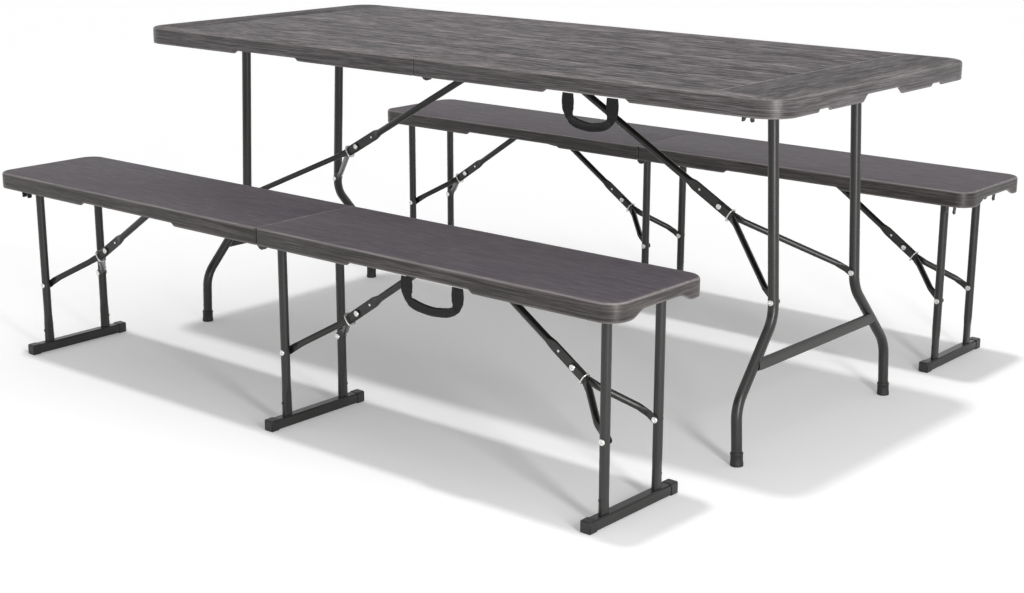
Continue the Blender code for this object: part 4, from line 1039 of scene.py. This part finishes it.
class GARDEN_OT_braces(bpy.types.Operator):
    """Build the two links of every brace, with their rivets"""

    bl_idname = "garden_set.braces"
    bl_label = "Braces"

    def execute(self, context):
        """Lay each link on the line between its joints."""
        finishes = [finish_of(STEEL), finish_of(ZINC)]
        for item in items():
            for side, one in item.sets.items():
                make_piece("{}_brace_upper_{}_tube".format(item.name, side), upper_link(item, one),
                           one.matrix @ laid_on(one.eye, one.joint), finishes, one.name + "_upper", "steel",
                           "{}_brace_upper_{}".format(item.name, side))
                make_piece("{}_brace_fork_{}_arms".format(item.name, side), brace_fork(item, one),
                           one.matrix @ laid_on(one.joint, one.rivet), finishes, one.name + "_fork", "steel",
                           "{}_brace_fork_{}".format(item.name, side))
        return {"FINISHED"}


class GARDEN_OT_lock_rings(bpy.types.Operator):
    """Build the wire rings that lock the braces"""

    bl_idname = "garden_set.lock_rings"
    bl_label = "Locking rings"

    def execute(self, context):
        """Bend each ring round the flat link and the tabs of its fork."""
        for item in items():
            for side, one in item.sets.items():
                top = item.flat_half + GAP + RING_WIRE
                low = item.tab_half + RING_SLACK + RING_WIRE
                shape = bmesh.new()
                loop = section(Vector((one.upper + RING_SEAT, 0, (low - top) / 2)), Vector((0, 1, 0)),
                               Vector((0, 0, -1)), RING_HALF + RING_WIRE, (top + low) / 2, 3.2, 44)
                sweep(shape, [(point, RING_WIRE, RING_WIRE, 2) for point in loop], (1, 0, 0), 12, wrap=True)
                make_piece("{}_lock_ring_{}_wire".format(item.name, side), shape,
                           one.matrix @ laid_on(one.eye, one.joint), [finish_of(ZINC)],
                           one.name + "_ring", "zinc", "{}_lock_ring_{}".format(item.name, side))
        return {"FINISHED"}


# Closing clips

class GARDEN_OT_closing_clips(bpy.types.Operator):
    """Build the two-pronged clips that hold the halves closed"""

    bl_idname = "garden_set.closing_clips"
    bl_label = "Closing clips"

    def execute(self, context):
        """Build each clip inside the box of its node: a base plate with two sprung prongs."""
        for item in items():
            for end in ("front", "back"):
                name = "{}_clip_{}".format(item.name, end)
                low, high = item.local_box(name)
                centre = (low + high) / 2
                shape = bmesh.new()
                rounded_box(shape, (low.x, low.y, high.z - 0.0032), high, 0.7 * MM)
                for side in (-1, 1):
                    reach = (high.x - low.x) / 2 - 0.0017
                    wide = (high.y - low.y) / 2
                    stations = [((side * reach, 0, high.z - 0.002), 0.0016, wide, 6),
                                ((side * (reach - 0.0002), 0, low.z + 0.010), 0.0015, wide, 6),
                                ((side * (reach - 0.0012), 0, low.z + 0.0055), 0.0017, wide, 6),
                                ((side * (reach - 0.0002), 0, low.z + 0.0018), 0.0013, wide * 0.94, 5),
                                ((side * reach, 0, low.z), 0.0008, wide * 0.8, 4)]
                    prong = bmesh.new()
                    sweep(prong, filled(stations, 4), (0, 1, 0), 20)
                    bmesh.ops.translate(prong, vec=(centre.x, centre.y, 0), verts=prong.verts)
                    join(shape, prong)
                make_piece(name + "_prongs", shape, item.matrix, [finish_of(NYLON)],
                           item.body(item.clip_half), "clip", name)
        return {"FINISHED"}


# Carry handles

class HandleSizes(bpy.types.PropertyGroup):
    """Sizes of the carry handles that a user may change."""

    strap_width: FloatProperty(name="Strap width", description="Width of the webbing", default=0.030,
                               min=0.015, max=0.032, unit="LENGTH")
    strap_thickness: FloatProperty(name="Strap thickness", description="Thickness of the webbing",
                                   default=0.0022, min=0.001, max=0.003, unit="LENGTH")
    grip_radius: FloatProperty(name="Grip radius", description="Radius of the padded grip", default=0.0090,
                               min=0.006, max=0.0095, unit="LENGTH")
    stitch_pitch: FloatProperty(name="Stitch pitch", description="Distance from stitch to stitch",
                                default=0.0042, min=0.002, max=0.008, unit="LENGTH")


def handle_strap(item, side, sizes):
    """A flat strap from the cut-out of the skirt, drawn in to the neck where the grip begins."""
    shape = bmesh.new()
    wide, thin = sizes.strap_width / 2, sizes.strap_thickness / 2
    edge = item.handle[0] if side < 0 else item.handle[1]
    inward = -side
    stations = [((edge, 0, 0.0), wide * 0.9, thin, 5), ((edge, 0, -item.drop * 0.26), wide, thin, 5),
                ((edge + inward * 0.0005, 0, -item.drop * 0.48), wide * 0.94, thin * 1.2, 4.5),
                ((edge + inward * 0.003, 0, -item.drop * 0.68), wide * 0.66, thin * 2.2, 3.2),
                ((edge + inward * 0.009, 0, -item.drop * 0.82), wide * 0.50, thin * 3.4, 2.6),
                ((edge + inward * 0.018, 0, -item.drop * 0.90), wide * 0.36, thin * 4.5, 2.2)]
    path = filled(stations, 5, True)
    sweep(shape, path, (0, 1, 0), 24)
    shape.normal_update()
    stitches(shape, [(place, half) for place, half, _, _ in path[:14]], sizes, thin)
    return shape


def stitches(shape, path, sizes, thin):
    """Two rows of stitches near the edges of a strap, on both faces."""
    travelled = 0.0
    for (place, half), (after, _) in zip(path, path[1:]):
        step = (after - place).length
        travelled += step
        if travelled < sizes.stitch_pitch:
            continue
        travelled = 0.0
        along = (after - place).normalized()
        across = along.cross(Vector((0, 1, 0)))
        for row in (-0.72, 0.72):
            for face in (-1, 1):
                centre = place + across * half * row + Vector((0, face * (thin + 0.1 * MM), 0))
                reach, end, middle = along * 1.1 * MM, 0.25 * MM, 0.42 * MM
                sweep(shape, [(centre - reach, end, end, 2), (centre, middle, middle, 2),
                              (centre + reach, end, end, 2)], (0, 1, 0), 6, 1)


def handle_grip(item, sizes):
    """A padded tube of cloth, sagging between its necks, puckered at its ends and along its seam."""
    shape = bmesh.new()
    left, right = item.handle
    drop, radius = item.drop, sizes.grip_radius
    stations = []
    mirrored = [(1 - share, sink, size) for share, sink, size in reversed(GRIP_HALF)]
    for share, sink, size in (*GRIP_HALF, GRIP_MIDDLE, *mirrored):
        x = left + GRIP_INSET + (right - left - 2 * GRIP_INSET) * share
        stations.append(((x, 0, -drop * sink), radius * size, radius * size, 2.2))
    path = filled(stations, 6, True)
    ripple = random.Random(5)
    fine = []
    for place, half_side, half_rise, power in path:
        swell = 1 + 0.022 * (ripple.random() - 0.5)
        fine.append((place, half_side * swell, half_rise * swell, power))
    sweep(shape, fine, (0, 1, 0), 28)
    # The seam along the upper side draws the cloth in to a narrow valley.
    for vert in shape.verts:
        nearest = min(fine, key=lambda one: (one[0] - vert.co).length_squared)
        out = vert.co - nearest[0]
        if out.length > 1e-6 and out.normalized().z > 0.93:
            vert.co -= out * 0.16
    return shape


class GARDEN_OT_carry_handles(bpy.types.Operator):
    """Build the webbing straps and padded grips of the carry handles"""

    bl_idname = "garden_set.carry_handles"
    bl_label = "Carry handles"

    def execute(self, context):
        """Hang two straps and one grip from the front cut-out of each item."""
        sizes = context.scene.garden_handles
        webbing, cover = finish_of("woven polypropylene strap"), finish_of("woven polyester grip cover")
        for item in items():
            node = item.name + "_carry_handle"
            hang_z = item.bottom + SKIRT_CUT_RISE - GAP - 1.5 * MM
            hang = Matrix.Translation((0, SKIRT_WALL / 2 - item.width, hang_z))
            body = item.name + "_handle"
            for side, end in ((-1, "left"), (1, "right")):
                make_piece("{}_handle_strap_{}".format(item.name, end), handle_strap(item, side, sizes),
                           item.matrix @ hang, [webbing, cover], body, "webbing")
            grip = make_piece(item.name + "_handle_grip", handle_grip(item, sizes), item.matrix @ hang,
                              [cover], body, "webbing", node)
        return {"FINISHED"}


# Stage

class StageSettings(bpy.types.PropertyGroup):
    """Camera and light of the stage that a user may change."""

    focal_pixels: FloatProperty(name="Focal length", default=1737.05,
                                description="Focal length in pixels of the picture's width")
    camera_place: FloatVectorProperty(name="Camera place", description="Where the camera stands", size=3,
                                      default=(2.562, -3.0369, 1.2115), subtype="TRANSLATION")
    heading: FloatProperty(name="Heading", description="Turn of the view from +Y towards -X",
                           default=math.radians(40.243), subtype="ANGLE")
    tilt: FloatProperty(name="Tilt", description="How far the camera looks down", default=math.radians(15.12),
                        subtype="ANGLE")
    roll: FloatProperty(name="Roll", description="Turn of the camera about its own axis",
                        default=math.radians(0.15), subtype="ANGLE")
    sky_level: FloatProperty(name="Sky level", description="Strength of the soft light from above",
                             default=0.68, min=0.0)
    horizon_level: FloatProperty(name="Horizon level", default=0.34, min=0.0,
                                 description="Strength of the soft light from the sides")
    key_power: FloatProperty(name="Key lamp", description="Strength of the high lamp that casts the shadows",
                             default=1.15, min=0.0)
    front_power: FloatProperty(name="Front lamp", description="Power of the soft lamp in front on the right",
                               default=76.0, unit="POWER")
    floor_colour: FloatVectorProperty(name="Floor", size=4, subtype="COLOR", default=linear("#f3f3f3"),
                                      description="Colour of the floor")
    floor_lift: FloatProperty(name="Floor lift", default=0.155, min=0.0, max=1.0,
                              description="White that the camera and reflections see on the floor")


def place_lamp(name, lamp, place, target):
    """Stand a lamp at a place, facing a point."""
    stand = bpy.data.objects.new(name, lamp)
    stand.location = place
    stand.rotation_mode = "QUATERNION"
    stand.rotation_quaternion = (Vector(target) - Vector(place)).to_track_quat("-Z", "Y")
    bpy.context.scene.collection.objects.link(stand)


def studio_lamps(settings):
    """A high key lamp with a soft edge to its shadows, and a broad lamp in front on the right."""
    key = bpy.data.lights.new("key_lamp", "SUN")
    key.energy = settings.key_power
    key.angle = KEY_ANGLE
    place_lamp("key_lamp", key, KEY_PLACE, (0.0, 0.0, 0.0))
    front = bpy.data.lights.new("front_lamp", "AREA")
    front.shape = "RECTANGLE"
    front.size, front.size_y = FRONT_SIZE
    front.energy = settings.front_power
    place_lamp("front_lamp", front, FRONT_PLACE, FRONT_TARGET)


def seen_rays(tree):
    """1 for what the camera sees straight, mirrored or through a clear piece, and 0 for the light itself."""
    rays = add_node(tree, "ShaderNodeLightPath", {}).outputs
    seen = maths(tree, "MAXIMUM", rays["Is Camera Ray"], rays["Is Glossy Ray"])
    return maths(tree, "MAXIMUM", seen, rays["Is Transmission Ray"])


def studio_floor(settings):
    """A wide painted floor. The camera and reflections see it white where no shadow falls on it."""
    shape = bmesh.new()
    bmesh.ops.create_grid(shape, x_segments=FLOOR_CELLS, y_segments=FLOOR_CELLS, size=FLOOR_SIZE)
    data = bpy.data.meshes.new("studio_floor")
    shape.to_mesh(data)
    shape.free()
    floor = bpy.data.objects.new("studio_floor", data)
    bpy.context.scene.collection.objects.link(floor)
    paint = bpy.data.materials.new("matt white floor paint")
    paint.use_nodes = True
    tree = paint.node_tree
    tree.nodes.clear()
    rolled = add_node(tree, "ShaderNodeBsdfDiffuse", {"Color": tuple(settings.floor_colour)})
    lift = add_node(tree, "ShaderNodeEmission", {"Strength": settings.floor_lift})
    bright = add_node(tree, "ShaderNodeAddShader", {0: rolled.outputs[0], 1: lift.outputs[0]})
    both = add_node(tree, "ShaderNodeMixShader",
                    {0: seen_rays(tree), 1: rolled.outputs[0], 2: bright.outputs[0]})
    add_node(tree, "ShaderNodeOutputMaterial", {"Surface": both.outputs[0]})
    data.materials.append(paint)


def studio_sky(settings):
    """Soft light from all sides, strongest overhead as under a large ceiling diffuser."""
    world = bpy.data.worlds.new("studio_sky")
    world.use_nodes = True
    tree = world.node_tree
    tree.nodes.clear()
    way = add_node(tree, "ShaderNodeTexCoord", {}).outputs["Generated"]
    rise = add_node(tree, "ShaderNodeSeparateXYZ", {"Vector": way}).outputs["Z"]
    level = mapped(tree, rise, to_low=settings.horizon_level, to_high=settings.sky_level)
    light, white = (add_node(tree, "ShaderNodeBackground", {"Color": linear("#ffffff"), "Strength": strength})
                    for strength in (level, 1.0))
    both = add_node(tree, "ShaderNodeMixShader",
                    {0: seen_rays(tree), 1: light.outputs[0], 2: white.outputs[0]})
    add_node(tree, "ShaderNodeOutputWorld", {"Surface": both.outputs[0]})
    bpy.context.scene.world = world


def picture_camera(settings):
    """The camera at the photograph's place, its lens worked out from the picture's width."""
    heading, tilt, roll = settings.heading, settings.tilt, settings.roll
    ahead = Vector((-math.sin(heading) * math.cos(tilt), math.cos(heading) * math.cos(tilt), -math.sin(tilt)))
    right = Vector((math.cos(heading), math.sin(heading), 0.0))
    up = right.cross(ahead)
    right = right * math.cos(roll) + up * math.sin(roll)
    up = right.cross(ahead)
    lens = bpy.data.cameras.new("picture_camera")
    lens.sensor_width = SENSOR_WIDTH
    lens.lens = settings.focal_pixels * lens.sensor_width / IMAGE_WIDTH
    lens.clip_end = FAR_CLIP
    camera = bpy.data.objects.new("picture_camera", lens)
    turn = Matrix((right, up, -ahead)).transposed().to_4x4()
    camera.matrix_world = Matrix.Translation(settings.camera_place) @ turn
    bpy.context.scene.collection.objects.link(camera)
    bpy.context.scene.camera = camera


class GARDEN_OT_stage(bpy.types.Operator):
    """Set up the pale floor, the soft studio light and the camera"""

    bl_idname = "garden_set.stage"
    bl_label = "Stage"

    def execute(self, context):
        """Build the floor, the light and the camera."""
        settings = context.scene.garden_stage
        studio_floor(settings)
        studio_sky(settings)
        studio_lamps(settings)
        picture_camera(settings)
        context.scene.view_settings.view_transform = "Standard"
        return {"FINISHED"}


# Add-on

class FinishColours(bpy.types.PropertyGroup):
    """Colours of the finishes that a user may change."""

    board: FloatVectorProperty(name="Board", description="Ground colour of the table top", size=4,
                               subtype="COLOR", default=linear("#131113"))
    grain: FloatVectorProperty(name="Grain", description="Colour of the pale streaks of the grain", size=4,
                               subtype="COLOR", default=linear("#797274"))
    # Colour of the rubbed edges and groove lips: partly wear, partly a painted highlight.
    worn: FloatVectorProperty(name="Rubbed edge", size=4, subtype="COLOR", default=linear("#aca5a3"),
                              description="Colour of rubbed edges and groove lips")
    seat: FloatVectorProperty(name="Seat", description="Ground colour of the bench seats", size=4,
                              subtype="COLOR", default=linear("#454046"))
    skirt: FloatVectorProperty(name="Skirt", description="Ground colour of the skirts", size=4,
                               subtype="COLOR", default=linear("#221e1d"))
    # Darker copies of the skirt and grain colours for the benches: painted shade.
    bench_skirt: FloatVectorProperty(name="Bench skirt", description="Ground colour of the benches' skirts",
                                     size=4, subtype="COLOR", default=linear("#14110f"))
    bench_grain: FloatVectorProperty(name="Bench grain", description="Pale streaks of the benches' skirts",
                                     size=4, subtype="COLOR", default=linear("#5f5856"))
    steel: FloatVectorProperty(name="Steel", description="Colour of the powder coat", size=4,
                               subtype="COLOR", default=linear("#1f1e1d"))
    zinc: FloatVectorProperty(name="Zinc", description="Colour of plated rivets and rings", size=4,
                              subtype="COLOR", default=linear("#f1f1ee"))
    rubber: FloatVectorProperty(name="Black mouldings", description="Colour of the caps and clips", size=4,
                                subtype="COLOR", default=linear("#151515"))
    webbing: FloatVectorProperty(name="Webbing", description="Colour of the handle straps", size=4,
                                 subtype="COLOR", default=linear("#070707"))
    grip: FloatVectorProperty(name="Grip", description="Colour of the padded grip", size=4,
                              subtype="COLOR", default=linear("#0c0c0d"))


class GARDEN_PT_sidebar(bpy.types.Panel):
    """The sizes, colours and building steps of the garden set"""

    bl_idname = "GARDEN_PT_sidebar"
    bl_label = "Garden set"
    bl_space_type = "VIEW_3D"
    bl_region_type = "UI"
    bl_category = "Garden set"

    def draw(self, context):
        """List every setting and every building step."""
        for name in SETTINGS:
            group = getattr(context.scene, name)
            column = self.layout.box().column()
            for key in group.__annotations__:
                column.prop(group, key)
        for operator in STEPS:
            self.layout.operator(operator.bl_idname)


SETTINGS = {"garden_tops": MouldedTopSizes, "garden_handles": HandleSizes, "garden_finishes": FinishColours,
            "garden_stage": StageSettings}
STEPS = (GARDEN_OT_moulded_tops, GARDEN_OT_frames, GARDEN_OT_leg_sets, GARDEN_OT_foot_caps, GARDEN_OT_braces,
         GARDEN_OT_lock_rings, GARDEN_OT_closing_clips, GARDEN_OT_carry_handles, GARDEN_OT_stage)


def register():
    """Register the settings, the operators and the panel."""
    for name, group in SETTINGS.items():
        bpy.utils.register_class(group)
        setattr(bpy.types.Scene, name, PointerProperty(type=group))
    for one in STEPS + (GARDEN_PT_sidebar,):
        bpy.utils.register_class(one)


def unregister():
    """Take the settings, the operators and the panel out again."""
    for one in reversed(STEPS + (GARDEN_PT_sidebar,)):
        bpy.utils.unregister_class(one)
    for name, group in SETTINGS.items():
        delattr(bpy.types.Scene, name)
        bpy.utils.unregister_class(group)


def main():
    """Build every piece and the stage."""
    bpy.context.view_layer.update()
    register()
    for operator in STEPS:
        group, name = operator.bl_idname.split(".")
        getattr(getattr(bpy.ops, group), name)()


if __name__ == "__main__":
    main()
